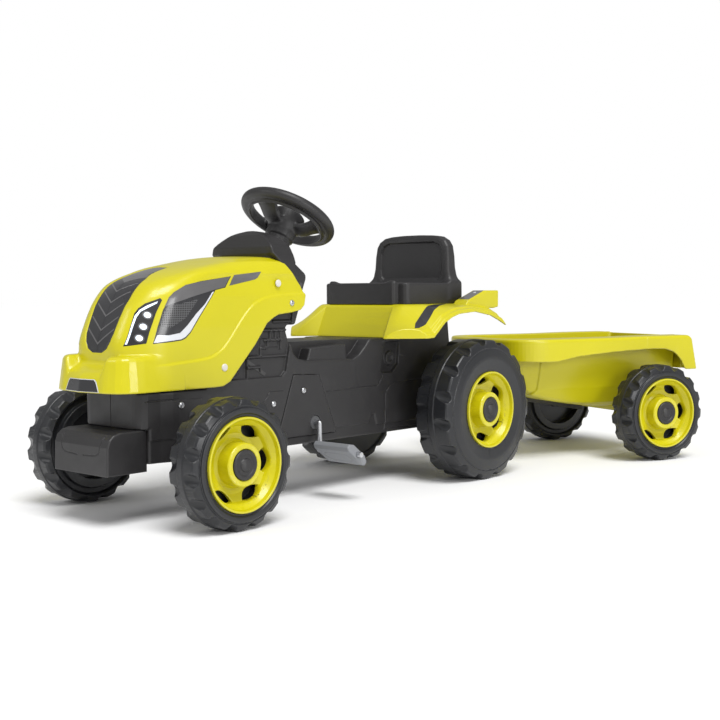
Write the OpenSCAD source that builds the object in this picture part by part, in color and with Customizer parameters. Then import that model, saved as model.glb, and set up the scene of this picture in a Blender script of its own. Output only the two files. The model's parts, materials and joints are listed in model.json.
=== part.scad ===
/* [Wheels] */
// Radius of the rear tyres over their lugs
rear_r = 132.5; // [126:0.5:136]
// Radius of the front and trailer tyres over their lugs
small_r = 100; // [96:0.5:102]
// Width of a rear tyre
rear_w = 85; // [78:1:88]
// Width of a front or trailer tyre
small_w = 66; // [60:1:68]
// Distance from the middle plane to the outer face of a rear tyre
rear_out = 212; // [206:1:216]
// Distance from the middle plane to the outer face of a front tyre
front_out = 220; // [214:1:224]
// Distance from the middle plane to the outer face of a trailer tyre
trailer_out = 222; // [216:1:226]
// Radius of the open face of every rim
rim_r = 72; // [68:0.5:74]
// Lugs in each of the two rows of a tread
lug_count = 16; // [12:1:24]
// Radius of the wheel axles
axle_r = 6; // [5:0.5:7]

/* [Tractor] */
// Distance between the front and rear axles
wheelbase = 629; // [615:1:640]
// Half the width of the chassis
body_half_w = 85; // [83:0.5:86]
// Wall of the chassis, hood and other moulded shells
wall = 4; // [3:0.5:5]
// Height of the underside of the chassis
belly_z = 94; // [88:1:96]
// Height of the flat deck under the seat
deck_z = 331; // [330:0.5:332]
// Half the width over the rear fenders
fender_half_w = 175; // [165:1:180]

/* [Steering] */
// Centre of the steering wheel behind the rear axle (negative is ahead of it)
wheel_y = -324.5; // [-328:0.5:-322]
// Height of the centre of the steering wheel
wheel_z = 488; // [484:1:492]
// Lean of the steering column from upright
column_lean = 31; // [30:0.5:32]
// Radius of the steering wheel to the middle of its ring
ring_r = 77.5; // [74:0.5:80]
// Radius of the ring's own section
ring_tube_r = 10.5; // [9:0.5:12]
// Distance of each kingpin from the middle plane
kingpin_x = 52; // [48:1:54]
// Length of the knuckle arms
knuckle_arm = 45; // [42:1:48]
// Throw of the crank at the foot of the steering column
column_throw = 30; // [28:1:32]

/* [Pedals] */
// Centre of the pedal crank along the tractor
crank_y = -345; // [-350:1:-340]
// Height of the pedal crank
crank_z = 129; // [126:1:132]
// Throw of the pedal crank
crank_throw = 47; // [42:1:50]
// Radius of the bent crank rod
crank_rod_r = 4.5; // [4:0.5:5]
// Width of one pedal
pedal_w = 82; // [70:1:86]
// Tilt of the pedals at rest
pedal_tilt = -38; // [-45:1:-30]

/* [Trailer] */
// Distance from the hitch pin to the trailer axle
drawbar_l = 383; // [378:1:390]
// Yaw of the trailer at rest, about the hitch pin
trailer_yaw = -22; // [-24:1:-20]
// Half the width of the trailer's rim
rim_half_w = 160; // [156:1:162]
// Height of the trailer's rim
rim_z = 256; // [250:1:260]

/* [Hidden] */

lime = "#c9cc1f";
black = "#2b2b2e";
grey = "#8d9094";
steel = "#b9bcc0";

gap = 0.3;          // between pieces that move past each other
fit = 0.05;         // radial clearance of a running fit
fine = 96;
soft = 32;

hitch_y = 160;
hitch_z = 137;
far = 400;

// The row frame stands at the middle of the bounding box, on the ground
yaw_s = sin(-trailer_yaw);
yaw_c = cos(trailer_yaw);
hood_nose_y = -770;
tail_b = 131;
tail_end = hitch_y + (drawbar_l + tail_b) * yaw_c + rim_half_w * yaw_s;
wheel_side = drawbar_l * yaw_s + trailer_out * yaw_c + 0.84 * small_r * yaw_s;
frame_x = (wheel_side - front_out) / 2;
frame_y = (tail_end + hood_nose_y) / 2;

// ---- helpers -------------------------------------------------------------------------

function unit(v) = v / norm(v);

// The points of a counter-clockwise outline moved inwards by d
function inset(p, d) = [for (i = [0:len(p) - 1])
    let (a = p[(i + len(p) - 1) % len(p)], b = p[i], c = p[(i + 1) % len(p)],
         u = unit(b - a), v = unit(c - b), m = [-u[1], u[0]], n = [-v[1], v[0]])
    b + d * (m + n) / (1 + m * n)];

// Points on an arc about c, from angle a0 to a1
function arc(c, r, a0, a1, n = 6) =
    [for (i = [0:n]) let (a = a0 + (a1 - a0) * i / n) c + r * [cos(a), sin(a)]];

// A strip of thickness t hanging under a line of points that runs towards +u
function strip(p, t) = concat(p, [for (i = [len(p) - 1:-1:0])
    let (a = p[max(i - 1, 0)], b = p[min(i + 1, len(p) - 1)], u = unit(b - a)) p[i] + t * [u[1], -u[0]]]);

function mirrored(p) = concat(p, [for (i = [len(p) - 1:-1:0]) [-p[i][0], p[i][1]]]);

// An outline in (y, z) pushed out along x, in (x, z) along y
module along_x(x0, x1) translate([x0, 0, 0]) rotate([90, 0, 90]) linear_extrude(x1 - x0) children();
module along_y(y0, y1) translate([0, y1, 0]) rotate([90, 0, 0]) linear_extrude(y1 - y0) children();
module rod_x(x0, x1, r) translate([x0, 0, 0]) rotate([0, 90, 0]) cylinder(h = x1 - x0, r = r, $fn = fine);
module on_both_sides() { children(); mirror([1, 0, 0]) children(); }
module in_row_frame() translate([-frame_x, -frame_y, 0]) children();
module in_trailer() in_row_frame() translate([0, hitch_y, 0]) rotate([0, 0, trailer_yaw]) children();
// z runs up the steering column, from the centre of the wheel's ring
module on_column() translate([0, wheel_y, wheel_z]) rotate([-column_lean, 0, 0]) children();

// ---- chassis -------------------------------------------------------------------------

column_top_z = 349;
chassis_top_z = deck_z - wall - 0.1;
nose_y = -712;
chassis_side = [[nose_y, 147], [-694, 147], [-694, belly_z], [60, belly_z], [36, 262],
    [28, chassis_top_z], [-128, chassis_top_z], [-152, 269], [-402, 270], [-372, column_top_z],
    [-430, column_top_z], [-465, 338], [-500, 315], [-530, 285], [-562, 232], [-590, 204.5],
    [nose_y, 204.5]];
foot_recess = [[-380, 238], [-242, 235], [-207, 262], [-200, 290], [-406, 290], [-404, 270]];
foot_recess_x = 58;
function chassis_plan(x0, d) = concat([[x0, 62 - d], [x0, nose_y + d]],
    arc([54, nose_y + 22], 22 - d, -90, 0),
    [[76 - d, -680], [body_half_w - d, -650], [body_half_w - d, 62 - d]]);
boss_places = [[-444, 169], [-640, 182], [-20, 200]];
boss_r = 6;
screw_r = 2;
crank_bush_r = 12;
rear_bush_r = 13;
axle_slot_w = 22;
cover_outline = [[-436, 108], [-292, 108], [-335, 212], [-397, 215]];
cover_depth = 2.5;
seat_bolt_x = 40;
seat_bolt_y = -30;
seat_bolt_r = 4;
seat_travel = 30;

module slot(x, y, r, travel, z0, z1) translate([x, y, z0]) {
    for (s = [-1, 1]) translate([0, s * travel, 0]) cylinder(h = z1 - z0, r = r, $fn = fine);
    translate([-r, -travel, 0]) cube([2 * r, 2 * travel, z1 - z0]);
}

module chassis_half() in_row_frame() color(black) difference() {
    union() {
        difference() {
            intersection() {
                along_x(0, body_half_w) polygon(chassis_side);
                translate([0, 0, -1]) linear_extrude(far) polygon(chassis_plan(0, 0));
            }
            intersection() {
                along_x(-1, body_half_w - wall) polygon(inset(chassis_side, wall));
                translate([0, 0, -1]) linear_extrude(far) polygon(chassis_plan(-1, wall));
                difference() {
                    translate([-1, -far * 2, 0]) cube([far, far * 3, far]);
                    along_x(foot_recess_x - wall, far) polygon(inset(foot_recess, -wall));
                }
            }
        }
        for (p = boss_places) translate([0, p[0], p[1]]) rod_x(0, body_half_w - wall, boss_r);
    }
    along_x(foot_recess_x, far) polygon(foot_recess);
    for (p = boss_places) translate([0, p[0], p[1]]) rod_x(-1, body_half_w + 1, screw_r + fit);
    translate([0, crank_y, crank_z]) rod_x(0, far, crank_bush_r + fit);
    translate([0, 0, rear_r]) rod_x(0, far, rear_bush_r + fit);
    along_x(body_half_w - cover_depth, far) polygon(cover_outline);
    translate([kingpin_x - 8, -wheelbase - axle_slot_w, belly_z - 1]) cube([far, 2 * axle_slot_w, 16]);
    on_column() translate([0, 0, -200]) cylinder(h = 70, r = column_r + 4, $fn = fine);
    slot(seat_bolt_x, seat_bolt_y, seat_bolt_r + 1, seat_travel, deck_z - 20, deck_z);
    translate([-1, 46, hitch_z - bracket_h - 0.1]) cube([bracket_w + 1.1, 20, 2 * bracket_h + 0.2]);
}
module chassis_left() chassis_half();
module chassis_right() in_row_frame() mirror([1, 0, 0]) translate([frame_x, frame_y, 0]) chassis_half();

module side_cover_half() in_row_frame() color(black) difference() {
    along_x(body_half_w - cover_depth + 0.1, body_half_w + 1) polygon(inset(cover_outline, 0.4));
    translate([0, crank_y, crank_z]) rod_x(0, far, crank_bush_r + 1);
    translate([0, -374, 187]) rod_x(0, far, screw_r + fit);
}
module side_cover_left() side_cover_half();
module side_cover_right() in_row_frame() mirror([1, 0, 0]) translate([frame_x, frame_y, 0])
    side_cover_half();

module pan_screw(x, y, z, l) translate([x, y, z]) {
    rod_x(-l, 0.05, screw_r);
    rod_x(0, 2, 5);
}
module chassis_screws() in_row_frame() color(steel) on_both_sides() {
    for (p = boss_places) pan_screw(body_half_w, p[0], p[1], 30);
    pan_screw(body_half_w + 1, -374, 187, 3.2);
}

// ---- hood, dash and front weight -----------------------------------------------------

hood_half_w = 92.6;
hood_wall = 3;
hood_face_y = -733;
hood_top = [[-434.5, 418], [-470, 419], [-500, 415], [-560, 404], [-600, 397], [-640, 384], [-674, 364],
    [-698, 341], [-712, 318], [-724, 296], [hood_face_y, 262]];
hood_notch = [[-562, 205], [-542, 213], [-522, 237], [-490, 270], [-463, 304], [-439, 317],
    [-378, 326], [-372, 354], [-395, 378]];
hood_keep = concat([[-470, 440], [-800, 440], [-800, 205]], hood_notch, [[-434.5, 418]]);
hood_front = concat([[hood_half_w, 204], [hood_half_w, 340], [88, 385]], [[80, 409], [64, 421]]);
hood_plan = [[hood_half_w, -300], [hood_half_w, -699], [87, -713], [76, -724], [60, -731], [48, hood_face_y]];
// The corners of the nose lean back with its slope and turn by this angle
corner_x = 50;
corner_turn = 40;
corner_slope = 0.66;
bumper_side = [[-690, 190], [-690, 258], [-744, 258], [-757, 246], [-768, 228], [hood_nose_y, 205],
    [hood_nose_y, 190]];
bumper_plan = [[hood_half_w, -680], [hood_half_w, -722], [87, -742], [73, -756], [49, -763],
    [0, hood_nose_y]];
hood_screw = [-406, 337];
hood_rivets_at = [[-436, 370], [-558, 236]];

function hood_profile(d) =
    inset(concat([[-300, 418]], hood_top, [[hood_face_y, 190], [-300, 190]]), d);

module hood_form(d) {
    intersection() {
        along_x(-far, far) polygon(hood_profile(d));
        along_y(-far * 2, 0) polygon(mirrored([for (p = hood_front) p - [d, p[1] > 341 ? d : 0]]));
        linear_extrude(far * 2) polygon(mirrored([for (p = hood_plan) p + [-d, p[1] < -680 ? d : 0]]));
        on_both_cuts() translate([corner_x, hood_face_y, 0]) rotate([0, 0, corner_turn])
            along_x(-far, far)
                polygon([for (p = hood_profile(d))
                    [p[0] > -400 ? far : (p[0] - hood_face_y) * corner_slope, p[1]]]);
    }
    intersection() {
        along_x(-far, far) polygon(inset(bumper_side, d));
        linear_extrude(far * 2)
            polygon(mirrored([for (p = bumper_plan) p + [p[0] > 0 ? -d : 0, p[1] < -700 ? d : 0]]));
    }
}
module on_both_cuts() intersection() { children(); mirror([1, 0, 0]) children(); }
module hood() in_row_frame() color(lime) difference() {
    intersection() {
        hood_form(0);
        along_x(-far, far) polygon(hood_keep);
    }
    translate([0, 0, -0.01]) hood_form(hood_wall);
    on_both_sides() translate([0, hood_screw[0], hood_screw[1]]) rod_x(far / 8, far, screw_r + fit);
    on_both_sides() for (p = hood_rivets_at) translate([0, p[0], p[1]]) rod_x(far / 8, far, 3 + fit);
}
module hood_screws() in_row_frame() color(steel) on_both_sides()
    pan_screw(hood_half_w, hood_screw[0], hood_screw[1], hood_half_w - body_half_w - 0.1);
module hood_rivets() in_row_frame() color("#d8d6d0") on_both_sides() for (p = hood_rivets_at)
    translate([0, p[0], p[1]]) {
        rod_x(hood_half_w - hood_wall - 1, hood_half_w + 0.05, 3);
        rod_x(hood_half_w, hood_half_w + 1.5, 6);
    }

dash_side = [[-430, column_top_z], [-372, column_top_z], [-360, 378], [-360, 386], [-400, 444],
    [-417, 451], [-431, 437]];
dash_inside = inset(dash_side, wall);
dash_front = [[82, column_top_z], [82, 383], [60, 416], [42, 446], [30, 451.5]];
hump_side = [[-392, 381], [-433.2, 421], [-433.5, 432], [-424, 452], [-415, 460], [-408, 459], [-399, 446],
    [-391, 410]];
hump_front = [[81, 379], [79, 405], [77, 424], [70, 437], [52, 448], [30, 456], [12, 460]];
boss_s = -76;         // where the dash boss ends, along the column from the wheel
dash_boss_r = 26;
bush_r = 11;
column_r = 6;

module dash() in_row_frame() color(black) difference() {
    union() {
        intersection() {
            along_x(-far, far) polygon(dash_side);
            along_y(-far * 2, 0) polygon(mirrored(dash_front));
        }
        intersection() {
            along_x(-far, far) polygon(hump_side);
            along_y(-far * 2, 0) polygon(mirrored(hump_front));
        }
        on_column() translate([0, 0, boss_s - 40]) cylinder(h = 40, r = dash_boss_r, $fn = fine);
    }
    difference() {
        intersection() {
            along_x(-far, far) polygon(concat([[-427, 340], [-374, 340]],
                [for (i = [1:len(dash_side) - 1]) dash_inside[i] - [0, i == 1 ? 20 : 0]]));
            along_y(-far * 2, 0)
                polygon(mirrored([for (p = dash_front) p - [wall, p[1] > 350 ? wall : 10]]));
        }
        on_column() translate([0, 0, boss_s - 40]) cylinder(h = 40, r = dash_boss_r, $fn = fine);
    }
    on_column() translate([0, 0, boss_s - 120]) cylinder(h = 121, r = bush_r + fit, $fn = fine);
}
module column_bush() in_row_frame() color(grey) on_column() translate([0, 0, boss_s - 26]) difference() {
    cylinder(h = 26, r = bush_r, $fn = fine);
    translate([0, 0, -1]) cylinder(h = 28, r = column_r + fit, $fn = fine);
}

weight_half_w = 69;
weight_profile = concat([[-694.1, 82.5], [-694.1, 146.9], [-745, 146.9]],
    arc([-745, 124.9], 22, 90, 180, 8), [[-767, 82.5]]);
module front_weight() in_row_frame() color(black) difference() {
    along_x(-weight_half_w, weight_half_w) polygon(weight_profile);
    translate([-weight_half_w + 5, -757, 70]) cube([2 * weight_half_w - 10, 57, 66]);
}

// ---- fender deck ---------------------------------------------------------------------

deck_t = 4;
deck_front_y = -200;
deck_front_z = 275;
deck_corner_x = 117;
deck_crest_y = -135;
panel_half_w = 85;
panel_foot = [-163, 271];
fender_front_y = -141;
fender_line = [[deck_front_y, deck_front_z], [deck_crest_y, deck_z], [73, deck_z], [88, 301], [102, 288]];
arch_outline = concat([[fender_front_y, 269], [-126, 270], [-94, 297], [-50, 314], [0, 316.5], [50, 308],
    [102, 288]], [[88, 301], [73, deck_z - 1], [deck_crest_y + 2, deck_z - 1], [fender_front_y, 318]]);
fin_x = [118, 150];
tail_gap_x = 72;      // behind the seat the deck is open between its two tails
fin_outline = [[12, deck_z - 1], [124, deck_z - 1], [116, 353], [67, 353]];

module fender_deck() in_row_frame() color(lime) difference() {
    union() {
        intersection() {
            along_x(-far, far) polygon(strip(fender_line, deck_t));
            linear_extrude(far) polygon(mirrored([[fender_half_w, 102], [fender_half_w, fender_front_y],
                [deck_corner_x, deck_front_y], [panel_half_w, panel_foot[0]]]));
        }
        along_x(-panel_half_w, panel_half_w)
            polygon(strip([panel_foot, [deck_crest_y, deck_z], [deck_crest_y + 20, deck_z]], deck_t));
        on_both_sides() {
            intersection() {
                translate([0, 0, 271]) linear_extrude(70) polygon([[panel_half_w - 1, panel_foot[0] - 1],
                    [deck_corner_x, deck_front_y], [deck_corner_x + 2, deck_front_y + 4],
                    [panel_half_w + 1, panel_foot[0] + 5]]);
                along_x(0, far) polygon([[deck_front_y, 269], [panel_foot[0] + 10, 269],
                    [panel_foot[0] + 10, 307], [deck_front_y, deck_front_z - 3]]);
            }
            along_x(fender_half_w - 3, fender_half_w) polygon(arch_outline);
            along_x(fin_x[0], fin_x[1]) polygon(fin_outline);
            intersection() {
                translate([0, 0, 269]) linear_extrude(70) polygon([[deck_corner_x - 1, deck_front_y + 3],
                    [deck_corner_x, deck_front_y], [fender_half_w, fender_front_y],
                    [fender_half_w - 3, fender_front_y + 3]]);
                along_x(-far, far) polygon([[deck_front_y, 269], [fender_front_y + 10, 269],
                    [fender_front_y + 10, 331], [deck_crest_y - 3, 327], [deck_front_y, deck_front_z - 3]]);
            }
        }
    }
    translate([-tail_gap_x, 70, deck_front_z - 5]) cube([2 * tail_gap_x, 40, 80]);
    on_both_sides() slot(seat_bolt_x, seat_bolt_y, seat_bolt_r + 1, seat_travel, deck_z - 20, deck_z + 1);
}

// ---- seat ----------------------------------------------------------------------------

seat_z = 372;
seat_plan = [[103, 47], [105, -109], [104, -120], [86, -122], [82, -133]];
back_front_y = 12;
back_outline = concat([[104, seat_z - 1]], [[96, 400]], arc([73, 442], 22, 0, 70), [[50, 467], [20, 469.5]]);
back_side = [[back_front_y, seat_z - 1], [47, seat_z - 1], [42, 470], [18, 470]];
seat_wall = 4;

module seat_solid(d) {
    translate([0, 0, deck_z + gap - d]) linear_extrude(seat_z - deck_z - gap)
        polygon(mirrored([for (p = seat_plan) p - [d, p[1] > 0 ? d : -d]]));
    intersection() {
        along_x(-far, far) polygon([for (p = back_side) p + [p[0] < 30 ? d : -d, p[1] < 400 ? -d * 2 : -d]]);
        along_y(0, far) polygon(mirrored([for (p = back_outline) p - [d, p[1] > 460 ? d : d * 2]]));
    }
}
module seat() in_row_frame() color(black) difference() {
    union() {
        difference() {
            seat_solid(0);
            seat_solid(seat_wall);
        }
        on_both_sides() translate([seat_bolt_x, seat_bolt_y, deck_z + gap])
            cylinder(h = seat_z - deck_z - 2, r = 10, $fn = fine);
    }
    on_both_sides() translate([seat_bolt_x, seat_bolt_y, deck_z - 1])
        cylinder(h = 30, r = seat_bolt_r + fit, $fn = fine);
}
module seat_bolts() in_row_frame() color(steel) on_both_sides() translate([seat_bolt_x, seat_bolt_y, 0]) {
    translate([0, 0, deck_z - 24]) cylinder(h = 50, r = seat_bolt_r, $fn = fine);
    translate([0, 0, deck_z - 24]) cylinder(h = 10, r = 13, $fn = fine);
}

// ---- steering ------------------------------------------------------------------------

hub_r = 30;
sleeve_r = 23;
hub_drop = 45;
sleeve_end = -74;
column_end_z = 168;
column_l = (wheel_z - column_end_z) / cos(column_lean);
column_pin_r = 4;
spoke_angles = [-90, 30, 150];
horn_r = 17;
squeaker_low = -11.9; // the bellows stand on the floor of the hub
nut_r = 9;

module steering_wheel() in_row_frame() color(black) on_column() difference() {
    union() {
        rotate_extrude($fn = fine) translate([ring_r, 0]) circle(r = ring_tube_r, $fn = soft);
        rotate_extrude($fn = fine) polygon([[0, sleeve_end], [sleeve_r, sleeve_end], [sleeve_r, -hub_drop],
            [26, -hub_drop], [26, -30], [hub_r, -8], [hub_r, 4], [26, 7], [0, 7]]);
        for (a = spoke_angles) rotate([0, 0, a])
            translate([hub_r - 6, -13, -7]) cube([ring_r - hub_r + 4, 26, 9]);
    }
    translate([0, 0, sleeve_end - 1]) cylinder(h = 70, r = column_r + 0.02, $fn = fine);
    translate([0, 0, -12]) cylinder(h = 30, r = horn_r + 0.6, $fn = fine);
}
module steering_column() in_row_frame() color(steel) on_column() {
    translate([0, 0, -column_l]) cylinder(h = column_l - 12 + 6, r = column_r, $fn = fine);
    translate([-7, -7, -column_l - 4]) cube([14, column_throw + 14, 8]);
    translate([0, column_throw, -column_l - 34]) cylinder(h = 32, r = column_pin_r, $fn = fine);
}
module wheel_nut() in_row_frame() color(steel) on_column() translate([0, 0, -11.9]) difference() {
    cylinder(h = 4, r = nut_r, $fn = 6);
    translate([0, 0, -1]) cylinder(h = 6, r = column_r + 0.02, $fn = fine);
}
module horn_button() in_row_frame() color(black) on_column() {
    translate([0, 0, 2]) cylinder(h = 8, r = horn_r, $fn = fine);
    translate([0, 0, -2]) difference() {
        cylinder(h = 5, r = horn_r, $fn = fine);
        translate([0, 0, -1]) cylinder(h = 6, r = horn_r - 3, $fn = fine);
    }
}
module horn_squeaker() in_row_frame() color(grey) on_column() rotate_extrude($fn = fine)
    polygon(concat([[10, 1.9], [10, squeaker_low]], [for (i = [0:6])
        [i % 2 == 0 ? 13.3 : 11.8, squeaker_low + (1.9 - squeaker_low) * i / 6]]));
module steering_plate() in_row_frame() color(black) on_column() translate([0, 0, -300]) difference() {
    translate([-80.9, -24, -3]) cube([161.8, 48, 6]);
    translate([0, 0, -5]) cylinder(h = 10, r = column_r + fit, $fn = fine);
}

// ---- front axle ----------------------------------------------------------------------

kingpin_r = 5;
stub_z = small_r;
beam_low = [106, 120];
beam_high = [134, 150];
arm_z = [123, 131];
rod_z = [133, 139];
rod_pin_r = 4;
rod_y = -wheelbase + knuckle_arm;
slot_y = -501;
axle_end = 5;         // how far each axle stops inside the outer face of its wheel

module front_axle_beam() in_row_frame() color(steel) difference() {
    union() {
        for (z = [beam_low, beam_high])
            translate([-80.9, -wheelbase - 12, z[0]]) cube([161.8, 24, z[1] - z[0]]);
        translate([-34, -wheelbase - 12, beam_low[0]]) cube([68, 24, beam_high[1] - beam_low[0]]);
    }
    on_both_sides() translate([kingpin_x, -wheelbase, 0]) cylinder(h = far, r = kingpin_r + fit, $fn = fine);
}
module knuckle_half() in_row_frame() color(steel) {
    translate([kingpin_x, -wheelbase, stub_z]) {
        cylinder(h = beam_high[1] - stub_z + 4, r = kingpin_r, $fn = fine);
        sphere(r = kingpin_r, $fn = fine);
        rod_x(0, front_out - kingpin_x - axle_end, kingpin_r);
    }
    translate([kingpin_x - 8, -wheelbase, arm_z[0]]) cube([16, knuckle_arm, arm_z[1] - arm_z[0]]);
    for (y = [0, knuckle_arm]) translate([kingpin_x, -wheelbase + y, arm_z[0]])
        cylinder(h = arm_z[1] - arm_z[0], r = 8, $fn = fine);
    translate([kingpin_x, rod_y, arm_z[0]]) cylinder(h = rod_z[1] + 3 - arm_z[0], r = rod_pin_r, $fn = fine);
}
module knuckle_left() knuckle_half();
module knuckle_right() in_row_frame() mirror([1, 0, 0]) translate([frame_x, frame_y, 0]) knuckle_half();

module tie_rod() in_row_frame() color(black) difference() {
    translate([0, 0, rod_z[0]]) linear_extrude(rod_z[1] - rod_z[0]) union() {
        translate([-kingpin_x, rod_y - 8]) square([2 * kingpin_x, 16]);
        for (s = [-1, 1]) translate([s * kingpin_x, rod_y]) circle(r = 8, $fn = fine);
        translate([-14, rod_y]) square([28, slot_y + 20 - rod_y]);
    }
    on_both_sides() translate([kingpin_x, rod_y, 0]) cylinder(h = far, r = rod_pin_r + fit, $fn = fine);
    slot(0, slot_y, column_pin_r + 1.4, 9, rod_z[0] - 1, rod_z[1] + 1);
}

// ---- wheels --------------------------------------------------------------------------
// Each wheel is made with its axle along x and its outer face at x = 0

barrel_r = 63;
boss_r_out = 33;
cap_r = 23;
lug_depth = 8;
hub_tube_r = 14;
slot_mid_r = 49.5;    // the six lens-shaped slots in the dish of a rim
slot_arc_r = 28;
slot_shift = 21;

module wheel_at(x, y, z, side) translate([side * x, y, z]) rotate([0, 0, side < 0 ? 180 : 0]) children();
// An outline in (radius, x) turned about the x axis
module about_x() rotate([0, 90, 0]) rotate_extrude($fn = fine) children();

module rim(w, bore) color(lime) difference() {
    about_x() polygon([[bore, -w + 2], [hub_tube_r, -w + 2], [hub_tube_r + 3, -34], [40, -34],
        [barrel_r - 3, -24], [barrel_r - 3, -w + 3], [barrel_r, -w + 3], [barrel_r, -14], [rim_r, -6],
        [rim_r, 0], [rim_r - 3, 0], [rim_r - 3.5, -6], [barrel_r - 3, -16], [barrel_r - 5, -18],
        [boss_r_out + 5, -26], [boss_r_out, -22], [boss_r_out, -5], [boss_r_out - 2, -3], [cap_r + 0.2, -3],
        [cap_r + 0.2, -5], [hub_tube_r, -5], [hub_tube_r, -12], [bore, -12]]);
    for (i = [0:5]) rotate([60 * i + 30, 0, 0]) translate([-40, 0, slot_mid_r]) rotate([90, 0, 90])
        linear_extrude(36) intersection() {
            translate([0, slot_shift]) circle(r = slot_arc_r, $fn = fine);
            translate([0, -slot_shift]) circle(r = slot_arc_r, $fn = fine);
        }
}
module cap() color(black) about_x()
    polygon([[0, -3], [11, -3], [11, -4.8], [cap_r, -4.8], [cap_r, -1.5], [cap_r - 1.5, 0], [9, -1], [8, 0],
        [0, 0]]);

module lug_row(r, x0, x1, phase) translate([x0, 0, 0]) rotate([0, 90, 0]) linear_extrude(x1 - x0)
    difference() {
        polygon([for (i = [0:lug_count - 1]) for (k = [[-0.23, r + 2], [0.23, r + 2], [0.33, r - lug_depth],
            [0.67, r - lug_depth]]) let (a = (i + k[0] + phase) * 360 / lug_count) k[1] * [cos(a), sin(a)]]);
        circle(r = r - lug_depth - 4, $fn = fine);
    }
module tyre(r, w) color(black) union() {
    about_x() polygon([[barrel_r + 0.1, -w + 2], [r - 26, -w], [r - 12, -w + 4], [r - lug_depth, -w + 9],
        [r - lug_depth, -w / 2 - 3], [r - 3, -w / 2 - 3], [r - 3, -w / 2 + 3], [r - lug_depth, -w / 2 + 3],
        [r - lug_depth, -9], [r - 12, -4], [r - 20, -1], [rim_r + 2, -0.5], [rim_r + 0.1, -3],
        [rim_r + 0.1, -7], [barrel_r + 0.1, -14.5], [barrel_r + 0.1, -24], [r - 14, -16], [r - 14, -w + 14],
        [barrel_r + 0.1, -w + 12]]);
    intersection() {
        union() {
            lug_row(r, -w, -w / 2, 0);
            lug_row(r, -w / 2, 0, 0.5);
        }
        about_x() polygon([[r - lug_depth - 3, -w + 4], [r - 6, -w + 4], [r, -w + 14], [r, -14], [r - 6, -4],
            [r - lug_depth - 3, -4]]);
    }
}

// The parts of each wheel, placed: front
module at_front(side) in_row_frame() wheel_at(front_out, -wheelbase, small_r, side) children();
module front_rim_left() at_front(1) rim(small_w, kingpin_r + fit);
module front_tyre_left() at_front(1) tyre(small_r, small_w);
module front_cap_left() at_front(1) cap();
module front_rim_right() at_front(-1) rim(small_w, kingpin_r + fit);
module front_tyre_right() at_front(-1) tyre(small_r, small_w);
module front_cap_right() at_front(-1) cap();
module clip() color(steel) translate([-8, 0, 0]) difference() {
    rod_x(0, 1.5, 10);
    rod_x(-1, 3, kingpin_r);
}
module axle_clip_left() at_front(1) clip();
module axle_clip_right() at_front(-1) clip();

// rear
module at_rear(side) in_row_frame() wheel_at(rear_out, 0, rear_r, side) children();
module rear_rim_left() at_rear(1) difference() {
    rotate([30, 0, 0]) rim(rear_w, axle_r + 0.02);
    translate([-rear_w + 8, 0, -20]) color(lime) cylinder(h = 40, r = 2.02, $fn = fine);
}
module rear_tyre_left() at_rear(1) tyre(rear_r, rear_w);
module rear_cap_left() at_rear(1) cap();
module rear_rim_right() at_rear(-1) rotate([30, 0, 0]) rim(rear_w, axle_r + fit);
module rear_tyre_right() at_rear(-1) tyre(rear_r, rear_w);
module rear_cap_right() at_rear(-1) cap();
module rear_axle() in_row_frame() color(steel) translate([0, 0, rear_r]) difference() {
    rod_x(-rear_out + axle_end, rear_out - axle_end, axle_r);
    translate([rear_out - rear_w + 8, 0, -20]) cylinder(h = 40, r = 2.02, $fn = fine);
}
module drive_pin() in_row_frame() color(steel) translate([rear_out - rear_w + 8, 0, rear_r - 13])
    cylinder(h = 26, r = 2, $fn = fine);

// ---- drive ---------------------------------------------------------------------------

crank_teeth = 20;
rear_teeth = 14;
links = 104;
chain_span = norm([crank_y, rear_r - crank_z]);
pitch = 2 * chain_span / (links - (crank_teeth + rear_teeth) / 2 - 0.025);
chain_x = 45;
roller_r = 2.4;
function pitch_r(n) = pitch / 2 / sin(180 / n);

// The closed path of the chain, from the crank's top over the rear sprocket and back
crank_pr = pitch_r(crank_teeth);
rear_pr = pitch_r(rear_teeth);
chain_tilt = atan2(rear_r - crank_z, -crank_y);
chain_wrap = asin((crank_pr - rear_pr) / chain_span);
run_l = chain_span * cos(chain_wrap);
rear_arc_l = rear_pr * (180 - 2 * chain_wrap) * PI / 180;
crank_arc_l = crank_pr * (180 + 2 * chain_wrap) * PI / 180;
chain_l = 2 * run_l + rear_arc_l + crank_arc_l;
link_l = chain_l / links;
mid_link = round((run_l + rear_arc_l / 2) / link_l);
crank_c = [crank_y, crank_z];
rear_c = [0, rear_r];
function on_circle(c, r, a) = c + r * [cos(a), sin(a)];
top_a = 90 + chain_tilt - chain_wrap;
low_a = chain_tilt - 90 + chain_wrap;
function on_chain(s, d = 0) =
    s < run_l ? on_circle(crank_c, crank_pr + d, top_a) * (1 - s / run_l)
        + on_circle(rear_c, rear_pr + d, top_a) * s / run_l :
    s < run_l + rear_arc_l ? on_circle(rear_c, rear_pr + d, top_a - (s - run_l) / rear_pr * 180 / PI) :
    s < 2 * run_l + rear_arc_l ? let (t = (s - run_l - rear_arc_l) / run_l)
        on_circle(rear_c, rear_pr + d, low_a) * (1 - t) + on_circle(crank_c, crank_pr + d, low_a) * t :
    on_circle(crank_c, crank_pr + d, low_a - (s - 2 * run_l - rear_arc_l) / crank_pr * 180 / PI);

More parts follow.
